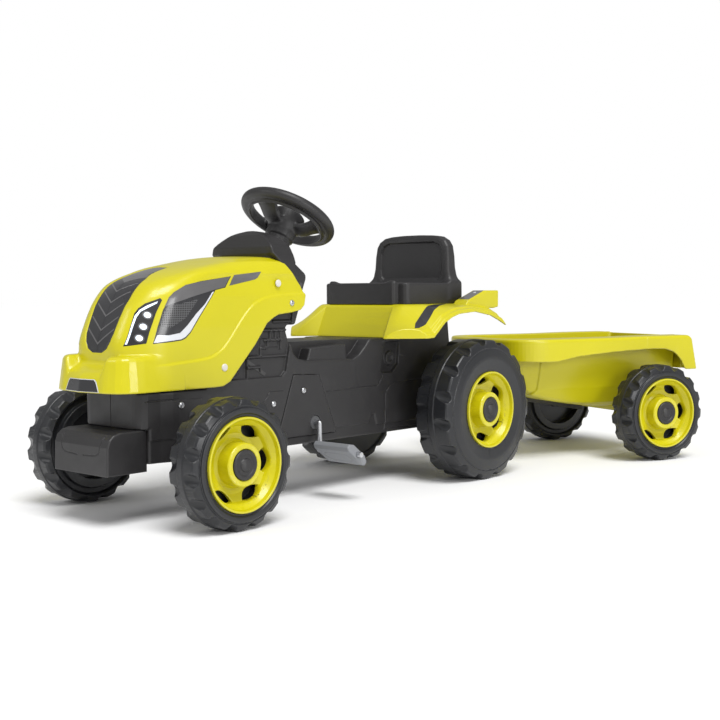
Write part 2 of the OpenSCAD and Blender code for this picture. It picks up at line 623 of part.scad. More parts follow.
module drive_chain() in_row_frame() color(steel) {
    for (x = [chain_x - 4.4, chain_x + 3]) along_x(x, x + 1.4) difference() {
        polygon([for (i = [0:links - 1]) on_chain(i * link_l, 4)]);
        polygon([for (i = [0:links - 1]) on_chain(i * link_l, -4)]);
    }
    for (i = [0:links - 1]) let (p = on_chain(i * link_l))
        translate([0, p[0], p[1]]) rod_x(chain_x - 3.5, chain_x + 3.5, roller_r);
}
module sprocket(n, bore, phase) {
    pr = pitch_r(n);
    translate([chain_x - 1.5, 0, 0]) rotate([90, 0, 90]) linear_extrude(3) difference() {
        circle(r = pr + 1.6, $fn = fine);
        circle(r = bore, $fn = fine);
        for (i = [0:n - 1]) translate(pr * [cos(phase + i * 360 / n), sin(phase + i * 360 / n)])
            circle(r = roller_r + 1.1, $fn = 24);
    }
    difference() {
        rod_x(chain_x - 12, chain_x + 8, 12);
        rod_x(chain_x - 13, chain_x + 9, bore);
    }
}
module crank_sprocket() in_row_frame() color(black) translate([0, crank_y, crank_z])
    sprocket(crank_teeth, crank_rod_r + 0.02, top_a);
module rear_sprocket() in_row_frame() color(black) translate([0, 0, rear_r])
    sprocket(rear_teeth, axle_r + 0.02, top_a - (mid_link * link_l - run_l) / rear_pr * 180 / PI);

arm_x = 95;
pedal_gap = 3;
module crank_rod() in_row_frame() color(steel) translate([0, crank_y, crank_z]) {
    rod_x(-arm_x, arm_x, crank_rod_r);
    for (s = [-1, 1]) {
        translate([s * arm_x, 0, 0]) sphere(r = crank_rod_r, $fn = fine);
        translate([s * arm_x, 0, s > 0 ? -crank_throw : 0])
            cylinder(h = crank_throw, r = crank_rod_r, $fn = fine);
        translate([s * arm_x, 0, -s * crank_throw]) sphere(r = crank_rod_r, $fn = fine);
        translate([s > 0 ? 0 : -2 * arm_x - pedal_gap, 0, -s * crank_throw])
            rod_x(s > 0 ? arm_x : 0, s > 0 ? 2 * arm_x + pedal_gap : arm_x + pedal_gap, crank_rod_r);
    }
}
pedal_outline = [[-27, -6], [-20, -8], [20, -8], [27, -6], [27, 2], [16, 8], [-16, 8], [-27, 2]];
module pedal(side) in_row_frame() color(grey) translate([0, crank_y, crank_z - side * crank_throw])
    rotate([pedal_tilt, 0, 0]) difference() {
        along_x(side > 0 ? arm_x + 8 : -arm_x - 8 - pedal_w, side > 0 ? arm_x + 8 + pedal_w : -arm_x - 8)
            polygon(pedal_outline);
        rod_x(-far, far, crank_rod_r + fit);
    }
module pedal_left() pedal(1);
module pedal_right() pedal(-1);

module bush(x, y, z, r, bore) translate([x, y, z]) difference() {
    union() {
        rod_x(-wall - 5, 0, r);
        rod_x(-wall - 5, -wall, r + 3);
    }
    rod_x(-far, far, bore);
}
module crank_bushes() in_row_frame() color(grey) on_both_sides()
    bush(body_half_w, crank_y, crank_z, crank_bush_r, crank_rod_r + fit);
module rear_axle_bushes() in_row_frame() color(grey) on_both_sides()
    bush(body_half_w, 0, rear_r, rear_bush_r, axle_r + fit);

// ---- hitch and trailer ---------------------------------------------------------------

tongue_t = 10;
pin_r = 8;
plate_t = 8;
bracket_w = 24;
bracket_h = tongue_t / 2 + 1 + plate_t;

module hitch_bracket() in_row_frame() color(black) difference() {
    union() {
        for (z = [hitch_z - tongue_t / 2 - 1 - plate_t, hitch_z + tongue_t / 2 + 1])
            translate([-bracket_w, 30, z]) cube([2 * bracket_w, hitch_y - 30, plate_t]);
        for (z = [hitch_z - tongue_t / 2 - 1 - plate_t, hitch_z + tongue_t / 2 + 1])
            translate([0, hitch_y, z]) cylinder(h = plate_t, r = bracket_w, $fn = fine);
        translate([-bracket_w, 30, hitch_z - tongue_t / 2 - 2]) cube([2 * bracket_w, 70, tongue_t + 4]);
        translate([-40, 36, hitch_z - bracket_h]) cube([80, 9, 2 * bracket_h]);
    }
    translate([0, hitch_y, 0]) cylinder(h = far, r = pin_r + fit, $fn = fine);
}
module hitch_pin() in_row_frame() color(steel) translate([0, hitch_y, hitch_z]) {
    translate([0, 0, -tongue_t / 2 - plate_t - 8])
        cylinder(h = tongue_t + 2 * plate_t + 9.1, r = pin_r, $fn = fine);
    translate([0, 0, tongue_t / 2 + plate_t + 1.1]) cylinder(h = 5, r = pin_r + 5, $fn = fine);
    translate([0, 0, tongue_t / 2 + plate_t + 18]) rotate([90, 0, 0]) rotate_extrude($fn = fine)
        translate([11, 0]) circle(r = 3, $fn = soft);
}
module trailer_drawbar() in_trailer() color(black) difference() {
    union() {
        cylinder(h = hitch_z + tongue_t / 2, r = 20, $fn = fine);
        along_x(-20, 20) polygon([[0, hitch_z - tongue_t / 2], [95, hitch_z - tongue_t / 2], [235, 106],
            [drawbar_l - 66, 92], [drawbar_l - 66, 101.9], [drawbar_l - 69, 101.9], [drawbar_l - 151, 117.8],
            [drawbar_l - 277, 146.8], [98, hitch_z + tongue_t / 2], [0, hitch_z + tongue_t / 2]]);
    }
    translate([0, 0, -1]) cylinder(h = hitch_z - tongue_t / 2 + 1, r = 21, $fn = fine);
    cylinder(h = far, r = pin_r + gap, $fn = fine);
}

tub_half_w = 118;
tub_wall = 3;
floor_z = 102;
axle_block = 14;
tub_front_b = -322;
tub_side = [[tub_front_b, rim_z], [-305, 200], [-277, 147], [-151, 118], [-69, floor_z], [75, floor_z],
    [104, 128], [120, rim_z]];
rim_plan = concat([[rim_half_w - 4, 120], [rim_half_w, 60], [rim_half_w, -250]],
    arc([rim_half_w - 70, -260], 70, 0, -90, 8));
tub_plan = concat([[tub_half_w, 121], [tub_half_w, -262]],
    arc([tub_half_w - 60, tub_front_b + 60], 60, 0, -90, 8));
rim_side = [[-331, 212], [-236, 210], [-176, 220], [-83, 227], [14, 231], [47, 230], [80, 216], [99, 190],
    [tail_b, 184.5], [124, 250], [118, 252], [110, rim_z], [-331, rim_z]];

module tub_form(d, lift) intersection() {
    along_x(-tub_half_w + d, tub_half_w - d) polygon([for (p = inset(tub_side, d))
        p + [0, p[1] > 200 && p[0] != -305 ? lift : 0]]);
    linear_extrude(far) polygon(mirrored([for (p = tub_plan) p + [-d, p[1] > 0 ? -d : d]]));
}
module trailer_tub() in_trailer() color(lime) translate([0, drawbar_l, 0]) difference() {
    union() {
        tub_form(0, 0);
        translate([0, 0, rim_z - tub_wall]) linear_extrude(tub_wall) polygon(mirrored(rim_plan));
        intersection() {
            along_x(-far, far) polygon(rim_side);
            linear_extrude(far) difference() {
                polygon(mirrored(concat([[rim_half_w, tail_b]],
                    [for (i = [1:len(rim_plan) - 1]) rim_plan[i]])));
                polygon(mirrored(concat([[rim_half_w - 3, far]], [for (i = [1:len(rim_plan) - 1])
                    rim_plan[i] + [-3, i > 2 ? 3 : 0]])));
            }
        }
        on_both_sides() along_x(tub_half_w - 1, rim_half_w - 1) polygon([[108, rim_z - 3], [110, rim_z],
            [124, 250], [tail_b, 184.5], [127, 184.5], [120, 248]]);
        translate([-tub_half_w, -axle_block, small_r - 10]) cube([2 * tub_half_w, 2 * axle_block, 20]);
    }
    difference() {
        tub_form(tub_wall, 20);
        translate([-tub_half_w, -axle_block, small_r - 10]) cube([2 * tub_half_w, 2 * axle_block, 20]);
    }
    translate([0, 0, small_r]) rod_x(-far, far, axle_r + fit);
}
module trailer_axle() in_trailer() color(steel) translate([0, drawbar_l, small_r])
    rod_x(-trailer_out + axle_end, trailer_out - axle_end, axle_r);
module at_trailer(side) in_trailer() wheel_at(trailer_out, drawbar_l, small_r, side) children();
module trailer_rim_left() at_trailer(1) rim(small_w, axle_r + fit);
module trailer_tyre_left() at_trailer(1) tyre(small_r, small_w);
module trailer_cap_left() at_trailer(1) cap();
module trailer_rim_right() at_trailer(-1) rim(small_w, axle_r + fit);
module trailer_tyre_right() at_trailer(-1) tyre(small_r, small_w);
module trailer_cap_right() at_trailer(-1) cap();

chassis_left();
chassis_right();
hood();
dash();
front_weight();
fender_deck();
side_cover_left();
side_cover_right();
chassis_screws();
hood_screws();
hood_rivets();
front_axle_beam();
steering_plate();
column_bush();
crank_bushes();
rear_axle_bushes();
drive_chain();
hitch_bracket();
steering_wheel();
steering_column();
wheel_nut();
horn_button();
horn_squeaker();
knuckle_left();
knuckle_right();
axle_clip_left();
axle_clip_right();
tie_rod();
front_rim_left();
front_tyre_left();
front_cap_left();
front_rim_right();
front_tyre_right();
front_cap_right();
crank_rod();
crank_sprocket();
pedal_left();
pedal_right();
rear_axle();
rear_sprocket();
drive_pin();
rear_rim_left();
rear_tyre_left();
rear_cap_left();
rear_rim_right();
rear_tyre_right();
rear_cap_right();
seat();
seat_bolts();
hitch_pin();
trailer_tub();
trailer_drawbar();
trailer_axle();
trailer_rim_left();
trailer_tyre_left();
trailer_cap_left();
trailer_rim_right();
trailer_tyre_right();
trailer_cap_right();
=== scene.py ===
import json
import math
import bpy
import numpy as np
from mathutils import Matrix, Vector
from mathutils.geometry import delaunay_2d_cdt


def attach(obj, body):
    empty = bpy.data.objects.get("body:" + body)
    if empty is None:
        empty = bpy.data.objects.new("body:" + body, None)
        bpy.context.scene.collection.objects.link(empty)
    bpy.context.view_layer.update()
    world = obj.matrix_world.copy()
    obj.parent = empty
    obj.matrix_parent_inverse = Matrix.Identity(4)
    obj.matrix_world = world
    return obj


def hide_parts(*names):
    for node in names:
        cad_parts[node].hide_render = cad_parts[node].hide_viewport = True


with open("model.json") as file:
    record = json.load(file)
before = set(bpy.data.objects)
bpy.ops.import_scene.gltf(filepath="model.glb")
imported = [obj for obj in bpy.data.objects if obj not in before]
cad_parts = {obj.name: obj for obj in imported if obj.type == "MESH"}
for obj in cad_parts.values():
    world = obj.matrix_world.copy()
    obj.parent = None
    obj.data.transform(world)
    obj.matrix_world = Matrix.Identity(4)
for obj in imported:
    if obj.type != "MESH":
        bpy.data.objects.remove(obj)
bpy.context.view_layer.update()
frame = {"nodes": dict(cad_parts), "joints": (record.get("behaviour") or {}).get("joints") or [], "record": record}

# ---- the frame -----------------------------------------------------------------------
# Shapes are written in millimetres in the tractor's own axes: x to its left, y to its
# back from the rear axle, z up from the ground. joint() places them in the row frame.

MM = 0.001
JOINTS = {j["name"]: j for j in frame["joints"]}


def joint(name):
    """Where a joint sits in the row frame."""
    return Vector(JOINTS[name]["pos_m"])


REAR = joint("rear_axle_spin")
ORIGIN = Vector((REAR.x, REAR.y, 0))
REAR_R = REAR.z / MM
FRONT_AXLE = (joint("front_wheel_left_spin") - ORIGIN) / MM
SMALL_R = FRONT_AXLE.z
AXLE_Y = FRONT_AXLE.y
HITCH = (joint("trailer_turn") - ORIGIN) / MM
WHEEL_HUB = (joint("steering_turn") - ORIGIN) / MM
COLUMN = Vector(JOINTS["steering_turn"]["axis"])
LEAN = math.atan2(COLUMN.y, COLUMN.z)
LATERAL = Vector(JOINTS["trailer_wheel_left_spin"]["axis"])
YAW = math.atan2(LATERAL.y, LATERAL.x)
TRAILER_AXLE = (joint("trailer_wheel_left_spin") + joint("trailer_wheel_right_spin")) / 2 - ORIGIN
DRAWBAR = (TRAILER_AXLE / MM - HITCH).xy.length

TRACTOR = Matrix.Translation(ORIGIN) @ Matrix.Scale(MM, 4)
TRAILER = TRACTOR @ Matrix.Translation((HITCH.x, HITCH.y, 0)) @ Matrix.Rotation(YAW, 4, "Z") \
    @ Matrix.Translation((0, DRAWBAR, 0))
STEERING = TRACTOR @ Matrix.Translation(WHEEL_HUB) @ Matrix.Rotation(-LEAN, 4, "X")


# ---- materials -----------------------------------------------------------------------

def srgb(r, g, b):
    """A colour as on a screen, made linear."""
    return tuple((c / 255 / 12.92) if c <= 10 else ((c / 255 + 0.055) / 1.055) ** 2.4
                 for c in (r, g, b)) + (1,)


def material(name, colour, rough, grain=(900, 0.05), vary=0.06, wear=0.25, metal=0.0, coat=0.0,
             emit=None, slot=None, dots=None):
    """A moulded or metal surface: mottled colour and roughness, a fine grain and paler worn edges.

    grain is the scale and strength of the bump, emit a colour and strength of its own light, and
    dots the scale and colour of a grid of dots printed over it."""
    m = bpy.data.materials.new("look_" + name)
    m["slot"] = slot or name
    m.use_nodes = True
    nodes, link = m.node_tree.nodes, m.node_tree.links.new
    shader = nodes["Principled BSDF"]
    shader.inputs["Metallic"].default_value = metal
    shader.inputs["Coat Weight"].default_value = coat
    shader.inputs["Coat Roughness"].default_value = 0.12
    where = nodes.new("ShaderNodeTexCoord").outputs["Object"]

    def noise(scale, detail=3):
        n = nodes.new("ShaderNodeTexNoise")
        n.inputs["Scale"].default_value = scale
        n.inputs["Detail"].default_value = detail
        link(where, n.inputs["Vector"])
        return n.outputs["Fac"]

    def ramp(fac, a, b, p0=0.3, p1=0.7):
        r = nodes.new("ShaderNodeValToRGB")
        r.color_ramp.elements[0].position, r.color_ramp.elements[0].color = p0, a
        r.color_ramp.elements[1].position, r.color_ramp.elements[1].color = p1, b
        link(fac, r.inputs["Fac"])
        return r.outputs["Color"]

    shade = tuple(c * (1 - vary) for c in colour[:3]) + (1,)
    tint = tuple(min(1, c * (1 + vary)) for c in colour[:3]) + (1,)
    body = ramp(noise(9), shade, tint)
    pale = tuple(c + (1 - c) * 0.35 for c in colour[:3]) + (1,)
    edge = nodes.new("ShaderNodeNewGeometry").outputs["Pointiness"]
    worn = nodes.new("ShaderNodeMath")
    worn.operation = "MULTIPLY"
    link(ramp(edge, (0, 0, 0, 1), (wear, wear, wear, 1), 0.52, 0.6), worn.inputs[0])
    link(noise(60), worn.inputs[1])
    mix = nodes.new("ShaderNodeMixRGB")
    link(worn.outputs[0], mix.inputs["Fac"])
    link(body, mix.inputs["Color1"])
    mix.inputs["Color2"].default_value = pale
    painted = mix.outputs["Color"]
    if dots:
        flat = nodes.new("ShaderNodeMapping")
        flat.inputs["Scale"].default_value = (0, 1, 1)
        link(where, flat.inputs["Vector"])
        cells = nodes.new("ShaderNodeTexVoronoi")
        cells.inputs["Scale"].default_value = dots[0]
        cells.inputs["Randomness"].default_value = 0
        link(flat.outputs["Vector"], cells.inputs["Vector"])
        hole = nodes.new("ShaderNodeMixRGB")
        link(ramp(cells.outputs["Distance"], (1, 1, 1, 1), (0, 0, 0, 1), 0.3, 0.4), hole.inputs["Fac"])
        link(painted, hole.inputs["Color1"])
        hole.inputs["Color2"].default_value = dots[1]
        painted = hole.outputs["Color"]
    link(painted, shader.inputs["Base Color"])
    low, high = (rough * 0.88,) * 3 + (1,), (min(1, rough * 1.12),) * 3 + (1,)
    link(ramp(noise(35), low, high), shader.inputs["Roughness"])
    bump = nodes.new("ShaderNodeBump")
    bump.inputs["Strength"].default_value = grain[1]
    bump.inputs["Distance"].default_value = 0.0004
    link(noise(grain[0], 2), bump.inputs["Height"])
    link(bump.outputs["Normal"], shader.inputs["Normal"])
    if emit:
        shader.inputs["Emission Color"].default_value = emit[0]
        shader.inputs["Emission Strength"].default_value = emit[1]
    return m


LIME = material("lime_plastic", srgb(201, 192, 14), 0.32, (500, 0.05), 0.03, 0.3, coat=0.15)
BLACK = material("black_plastic", srgb(40, 39, 40), 0.46, (1400, 0.22), 0.08, 0.18)
TYRE = material("tyre_plastic", srgb(33, 34, 37), 0.34, (700, 0.1), 0.1, 0.22)
GREY = material("grey_plastic", srgb(128, 130, 134), 0.5, (1200, 0.2), 0.05, 0.3)
STEEL = material("bare_steel", srgb(196, 197, 200), 0.3, (300, 0.1), 0.08, 0.2, metal=1.0)
RIVET = material("rivet_plastic", srgb(214, 210, 200), 0.35, (600, 0.05), 0.03, 0.1)
BUSH = material("bush_plastic", srgb(64, 65, 68), 0.55, (900, 0.1), 0.05, 0.2)
MATERIALS = {m["slot"]: m for m in (LIME, BLACK, TYRE, GREY, STEEL, RIVET, BUSH)}
# Printed films, each in the slot of the plastic it comes closest to
DARK_FILM = material("dark_film", srgb(38, 38, 41), 0.3, (300, 0.03), 0.25, 0.1, coat=0.4,
                     slot="black_plastic")
GREY_FILM = material("grey_film", srgb(92, 91, 92), 0.3, (300, 0.03), 0.2, 0.1, coat=0.4,
                     slot="grey_plastic")
PALE_FILM = material("pale_film", srgb(214, 216, 220), 0.25, (300, 0.03), 0.12, 0.1, coat=0.5,
                     slot="rivet_plastic")
GRILLE_FILM = material("grille_film", srgb(84, 84, 86), 0.35, (300, 0.03), 0.15, 0.1, coat=0.3,
                       slot="black_plastic", dots=(290, srgb(14, 14, 15)))
# A printed lamp film with a painted glow: it emits light, though the toy's lamps are only print and give none
GLOWING_LAMP_FILM = material("light_film", srgb(228, 238, 250), 0.2, (300, 0.02), 0.05, 0.05, slot="rivet_plastic",
                      emit=(srgb(214, 232, 255), 0.7))


# ---- meshes from signed-distance fields ----------------------------------------------

def smax(a, b, k):
    """The larger of two fields, rounded over by k where they meet."""
    h = np.maximum(k - np.abs(a - b), 0) / k
    return np.maximum(a, b) + h * h * k / 4


def smin(a, b, k):
    """The smaller of two fields, with a fillet of k where they meet."""
    return -smax(-a, -b, k)


def step(x, a, b):
    """A smooth rise from 0 at a to 1 at b."""
    t = np.clip((x - a) / (b - a), 0, 1)
    return t * t * (3 - 2 * t)


def inset(pts, d):
    """A counter-clockwise outline moved inwards by d."""
    p = np.asarray(pts, float)
    u = p - np.roll(p, 1, 0)
    u /= np.linalg.norm(u, axis=1)[:, None]
    v = np.roll(u, -1, 0)
    m, n = np.c_[-u[:, 1], u[:, 0]], np.c_[-v[:, 1], v[:, 0]]
    return p + d * (m + n) / (1 + (m * n).sum(1))[:, None]


def outline(pts, u, v, r=0.0):
    """Signed distance to a closed outline, its convex corners rounded by r."""
    p = inset(pts, r) if r else np.asarray(pts, float)
    u, v = np.broadcast_arrays(u, v)
    best, odd = np.full(u.shape, 1e12), np.zeros(u.shape, bool)
    for (ax, ay), (bx, by) in zip(p, np.roll(p, -1, 0)):
        ex, ey, wx, wy = bx - ax, by - ay, u - ax, v - ay
        t = np.clip((wx * ex + wy * ey) / (ex * ex + ey * ey), 0, 1)
        best = np.minimum(best, (wx - ex * t) ** 2 + (wy - ey * t) ** 2)
        if ey:
            odd ^= ((ay <= v) != (by <= v)) & (u < ax + (v - ay) / ey * ex)
    return np.where(odd, -1, 1) * np.sqrt(best) - r


def curve(pts, n=60):
    """A smooth line through a few points (Catmull-Rom)."""
    p = np.asarray(pts, float)
    p = np.vstack([2 * p[0] - p[1], p, 2 * p[-1] - p[-2]])
    t = np.linspace(0, len(p) - 3 - 1e-9, n)
    i, f = t.astype(int), (t % 1)[:, None]
    a, b, c, d = p[i], p[i + 1], p[i + 2], p[i + 3]
    return 0.5 * (2 * b + (c - a) * f + (2 * a - 5 * b + 4 * c - d) * f ** 2
                  + (3 * b - a - 3 * c + d) * f ** 3)


CORNERS = [(i, j, k) for i in (0, 1) for j in (0, 1) for k in (0, 1)]
EDGES = [(a, b) for a in CORNERS for b in CORNERS if sum(b) - sum(a) == 1
         and sum(abs(p - q) for p, q in zip(a, b)) == 1]


def net(F):
    """Vertices (in cells) and quads of the surface where F changes sign."""
    inside = F < 0
    n = [s - 1 for s in F.shape]
    count = sum(inside[i:i + n[0], j:j + n[1], k:k + n[2]].astype(np.int8) for i, j, k in CORNERS)
    mixed = (count > 0) & (count < 8)
    cells = np.argwhere(mixed)
    index = np.full(mixed.shape, -1)
    index[mixed] = np.arange(len(cells))
    total, hits = np.zeros((len(cells), 3)), np.zeros(len(cells))
    for a, b in EDGES:
        fa, fb = F[tuple((cells + a).T)], F[tuple((cells + b).T)]
        cross = (fa < 0) != (fb < 0)
        t = np.where(cross, fa / np.where(cross, fa - fb, 1), 0)[:, None]
        total += cross[:, None] * (cells + a + t * (np.array(b) - a))
        hits += cross
    quads = []
    for axis in range(3):
        o1, o2 = (axis + 1) % 3, (axis + 2) % 3
        lo = [slice(None)] * 3
        hi = [slice(None)] * 3
        lo[axis], hi[axis] = slice(0, -1), slice(1, None)
        change = inside[tuple(lo)].astype(np.int8) - inside[tuple(hi)]
        at = np.argwhere(change)
        for o in (o1, o2):
            at = at[(at[:, o] > 0) & (at[:, o] < F.shape[o] - 1)]
        turn = change[tuple(at.T)]
        ring = []
        for d1, d2 in ((-1, -1), (0, -1), (0, 0), (-1, 0)):
            c = at.copy()
            c[:, o1] += d1
            c[:, o2] += d2
            ring.append(index[tuple(c.T)])
        q = np.stack(ring, 1)
        quads.append(np.where(turn[:, None] > 0, q, q[:, ::-1]))
    return total / hits[:, None], np.vstack(quads)


def mesh_of(name, verts, faces, matrix=TRACTOR, normals=None):
    """An object from arrays of points and faces, the points turned into the row frame."""
    m = np.array(matrix)
    world = verts @ m[:3, :3].T + m[:3, 3]
    me = bpy.data.meshes.new(name)
    me.from_pydata(world.tolist(), [], faces.tolist() if hasattr(faces, "tolist") else faces)
    me.polygons.foreach_set("use_smooth", [True] * len(me.polygons))
    me.update()
    if normals is not None:
        turned = normals @ np.linalg.inv(m[:3, :3])
        turned /= np.linalg.norm(turned, axis=1)[:, None]
        me.normals_split_custom_set_from_vertices(turned.tolist())
    o = bpy.data.objects.new(name, me)
    bpy.context.collection.objects.link(o)
    return o


def gradient(f, p, h=0.15):
    """How a field changes along x, y and z at each point."""
    g = np.empty_like(p)
    for k in range(3):
        e = np.zeros(3)
        e[k] = h
        g[:, k] = f(*(p + e).T) - f(*(p - e).T)
    return g / (2 * h)


def pull(f, p, reach, times=3):
    """Moves points on to the surface f = 0."""
    for _ in range(times):
        g = gradient(f, p)
        s = np.clip(f(*p.T) / np.maximum((g ** 2).sum(1), 0.2), -reach, reach)
        p = p - g * s[:, None]
    return p


def solid(name, f, lo, hi, cell, matrix=TRACTOR, keep=1.0, mat=BLACK, body="root"):
    """The closed surface f = 0 inside a box, thinned to the share keep of its triangles."""
    axes = [np.arange(a - 2 * cell, b + 3 * cell, cell) for a, b in zip(lo, hi)]
    x, y, z = axes[0][:, None, None], axes[1][None, :, None], axes[2][None, None, :]
    F = np.broadcast_to(f(x, y, z), [len(a) for a in axes]).astype(np.float32)
    v, q = net(F)
    v = pull(f, v * cell + [a[0] for a in axes], cell * 0.6)
    if keep < 1:
        o = mesh_of(name, v, q, Matrix())
        thin = o.modifiers.new("thin", "DECIMATE")
        thin.ratio = keep
        bpy.context.view_layer.objects.active = o
        bpy.ops.object.modifier_apply(modifier="thin")
        v = np.empty(len(o.data.vertices) * 3)
        o.data.vertices.foreach_get("co", v)
        v = pull(f, v.reshape(-1, 3), cell * 0.4, 2)
        q = [list(p.vertices) for p in o.data.polygons]
        me = o.data
        bpy.data.objects.remove(o)
        bpy.data.meshes.remove(me)
    g = gradient(f, v, 0.4)
    g /= np.maximum(np.linalg.norm(g, axis=1), 1e-9)[:, None]
    o = mesh_of(name, v, q, matrix, g)
    return finish(o, mat, body)


def finish(o, mat, body):
    """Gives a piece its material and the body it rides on."""
    o.data.materials.append(mat)
    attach(o, body)
    return o


def revolve(pts, x, y, z, r=0.0):
    """An outline of (radius, x) turned about the x axis."""
    return outline(pts, np.hypot(y, z), x, r)


def near(pts, u, v):
    """Distance to an open line."""
    u, v = np.broadcast_arrays(u, v)
    best = np.full(u.shape, 1e12)
    for (ax, ay), (bx, by) in zip(pts[:-1], pts[1:]):
        ex, ey, wx, wy = bx - ax, by - ay, u - ax, v - ay
        t = np.clip((wx * ex + wy * ey) / (ex * ex + ey * ey), 0, 1)
        best = np.minimum(best, (wx - ex * t) ** 2 + (wy - ey * t) ** 2)
    return np.sqrt(best)


def within(d, soft=1.2):
    """1 inside a distance field, 0 outside, with a soft border."""
    return 1 - step(d, -soft, soft)


COARSE = 1.0

# ---- wheels: the axle along x, the outer face at x = 0 --------------------------------

CAP_R, LUGS = 23, 16
RIM_PROFILE = [(14, -36), (45, -36), (59, -28), (62.5, -22), (62.5, -14), (71.8, -6), (71.8, 1), (68.5, 1),
               (67, -6), (59.5, -15), (57, -20), (46, -27.5), (38, -29), (33.5, -26), (33, -4), (31.5, -2),
               (24, -2), (23.4, -5), (14, -5)]
CAP_PROFILE = [(0, -4.7), (CAP_R, -4.7), (CAP_R, -1.2), (21.5, 0), (17, 0), (15.5, -1.2), (10.5, -1.2),
               (9, 0.6), (0, 0.6)]
# The rim's slots are lenses: how far out they lie, the radius of their arcs and the arcs' shift
LENS_MID, LENS_R, LENS_SHIFT = 53.5, 27, 19.5


def rim_field(x, y, z):
    """The rim with its dished face, its boss and six slots."""
    f = revolve(RIM_PROFILE, x, y, z, 0.9)
    r, a = np.hypot(y, z), np.arctan2(y, z)
    a = (a + np.pi) % (np.pi / 3) - np.pi / 6
    u, v = r * np.cos(a) - LENS_MID, r * np.sin(a)
    lens = np.maximum(np.hypot(u - LENS_SHIFT, v), np.hypot(u + LENS_SHIFT, v)) - LENS_R
    return smax(f, -lens, 2)


def tyre_field(big_r, w, band, turn):
    """The moulded tyre: scooped lugs, a flat ring to the radius band, a bulging wall and a web."""
    mid, half = -w / 2, w / 2
    crest = (band + 74) / 2 + 1
    wall = [(73.5, -1), (big_r, -1), (big_r, 6), (big_r - 1.4, 7), (big_r - 1.4, half - 9),
            (big_r - 3.5, half - 6), (band + 1.5, half - 2.6), (band, half - 3.4), (band - 2, half - 2),
            (crest + 5, half - 0.2), (crest, half), (crest - 4, half - 0.4), (76, half - 2.5),
            (73.5, half - 5)]
    web = [(14.2, -w + 1.5), (20, -w + 1.5), (20, -43), (59, -43), (59, -w + 1), (74, -w + 1), (74, -3),
           (72.2, -3), (72.2, -7), (62.9, -14.5), (62.9, -38), (14.2, -38)]
    back = [(big_r - 12, -w - 2), (75, -w - 2), (75, -w + 9), (big_r - 16, -w + 9)]
    pitch, scoop = 2 * math.pi / LUGS, 11.5

    def field(x, y, z):
        r, a = np.hypot(y, z), np.arctan2(y, z)
        side = np.abs(x - mid)
        f = outline(wall, r, side, 1.1)
        for s in (-1, 1):
            u = s * (x - mid)
            deep = 11 * np.clip((u - 6) / (half - 10), 0, 1.2) ** 0.7 - 4 * (1 - step(u, 4, 8))
            t = a / pitch + (0.25 if s > 0 else -0.25) + turn * 0.004 * side
            t = (t - np.round(t)) * pitch * big_r
            f = smax(f, scoop - np.hypot(t, r - big_r - scoop + deep), 0.9)
        f = smax(f, -revolve(back, x, y, z), 3)
        return smin(f, revolve(web, x, y, z, 0.4), 3)

    return field


def share(source, name, matrix, body):
    """Another object with the mesh of source."""
    o = bpy.data.objects.new(name, source.data)
    bpy.context.collection.objects.link(o)
    o.matrix_world = matrix
    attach(o, body)
    return o


def wheel_matrix(out, centre, side, matrix, roll=0):
    """Where a wheel's piece goes: its outer face out from the middle, on the side +1 or -1."""
    turn = Matrix.Rotation(math.pi if side < 0 else 0, 4, "Z")
    turn = turn @ Matrix.Rotation(math.radians(roll), 4, "X")
    place = matrix @ Matrix.Translation(Vector((side * out, centre[0], centre[1]))) @ turn
    return place @ Matrix.Scale(1 / MM, 4)


# kind, radius, width, how far out the outer face is, axle, frame, turn of the rim, radius of the wall's ring
WHEELS = [("front", SMALL_R, 66, 220, (AXLE_Y, SMALL_R), TRACTOR, 0, 87),
          ("rear", REAR_R, 85, 212, (0, REAR_R), TRACTOR, 30, 115),
          ("trailer", SMALL_R, 66, 222, (0, SMALL_R), TRAILER, 0, 87)]
LOCAL = Matrix.Scale(MM, 4)


def wheel_body(kind, side):
    """The chain drives the left rear wheel, which is in one body with its axle."""
    return "rear_drive" if (kind, side) == ("rear", "left") else f"{kind}_wheel_{side}"


def cap_field(x, y, z):
    return revolve(CAP_PROFILE, x, y, z, 0.5)


def wheels():
    """Rim, cap and tyre of each wheel, sharing the meshes that are the same."""
    made = {}
    for kind, big_r, w, out, centre, matrix, roll, band in WHEELS:
        parts = {"rim": (rim_field, (-37, -73, -73), (2, 73, 73), 1.25, 0.35, LIME),
                 "cap": (cap_field, (-5, -24, -24), (1.5, 24, 24), 0.8, 0.5, BLACK)}
        for side, sign in (("left", 1), ("right", -1)):
            parts["tyre"] = (tyre_field(big_r, w, band, sign), (-w - 1, -big_r, -big_r),
                             (1, big_r, big_r), 1.5 if big_r < 110 else 1.8, 0.3, TYRE)
            for what, (f, lo, hi, cell, keep, mat) in parts.items():
                name = f"{kind}_{what}_{side}"
                place = wheel_matrix(out, centre, sign, matrix, roll if what == "rim" else 0)
                body = wheel_body(kind, side)
                key = (what, big_r, sign) if what == "tyre" else what
                if key not in made:
                    o = solid(name, f, lo, hi, cell * COARSE, LOCAL, keep if COARSE == 1 else 1, mat, body)
                    made[key] = o
                    o.matrix_world = place
                    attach(o, body)
                else:
                    o = share(made[key], name, place, body)
                o.name = "look_" + name
                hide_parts(name)


# ---- hood ----------------------------------------------------------------------------

# Side outlines are (y, z), fronts (x, z) and plans (x, y)
HOOD_T = 4.6
NOSE_Y = -733
HOOD_TOP = curve([(-300, 418), (-380, 419), (-440, 420), (-475, 419.5), (-510, 415.5), (-545, 409.5),
                  (-580, 403), (-612, 397), (-640, 390), (-662, 382), (-681, 372.5), (-696, 359),
                  (-706, 343), (-716, 323), (-725, 303), (-732, 284), (-734.5, 266), (-734.5, 230)], 48)
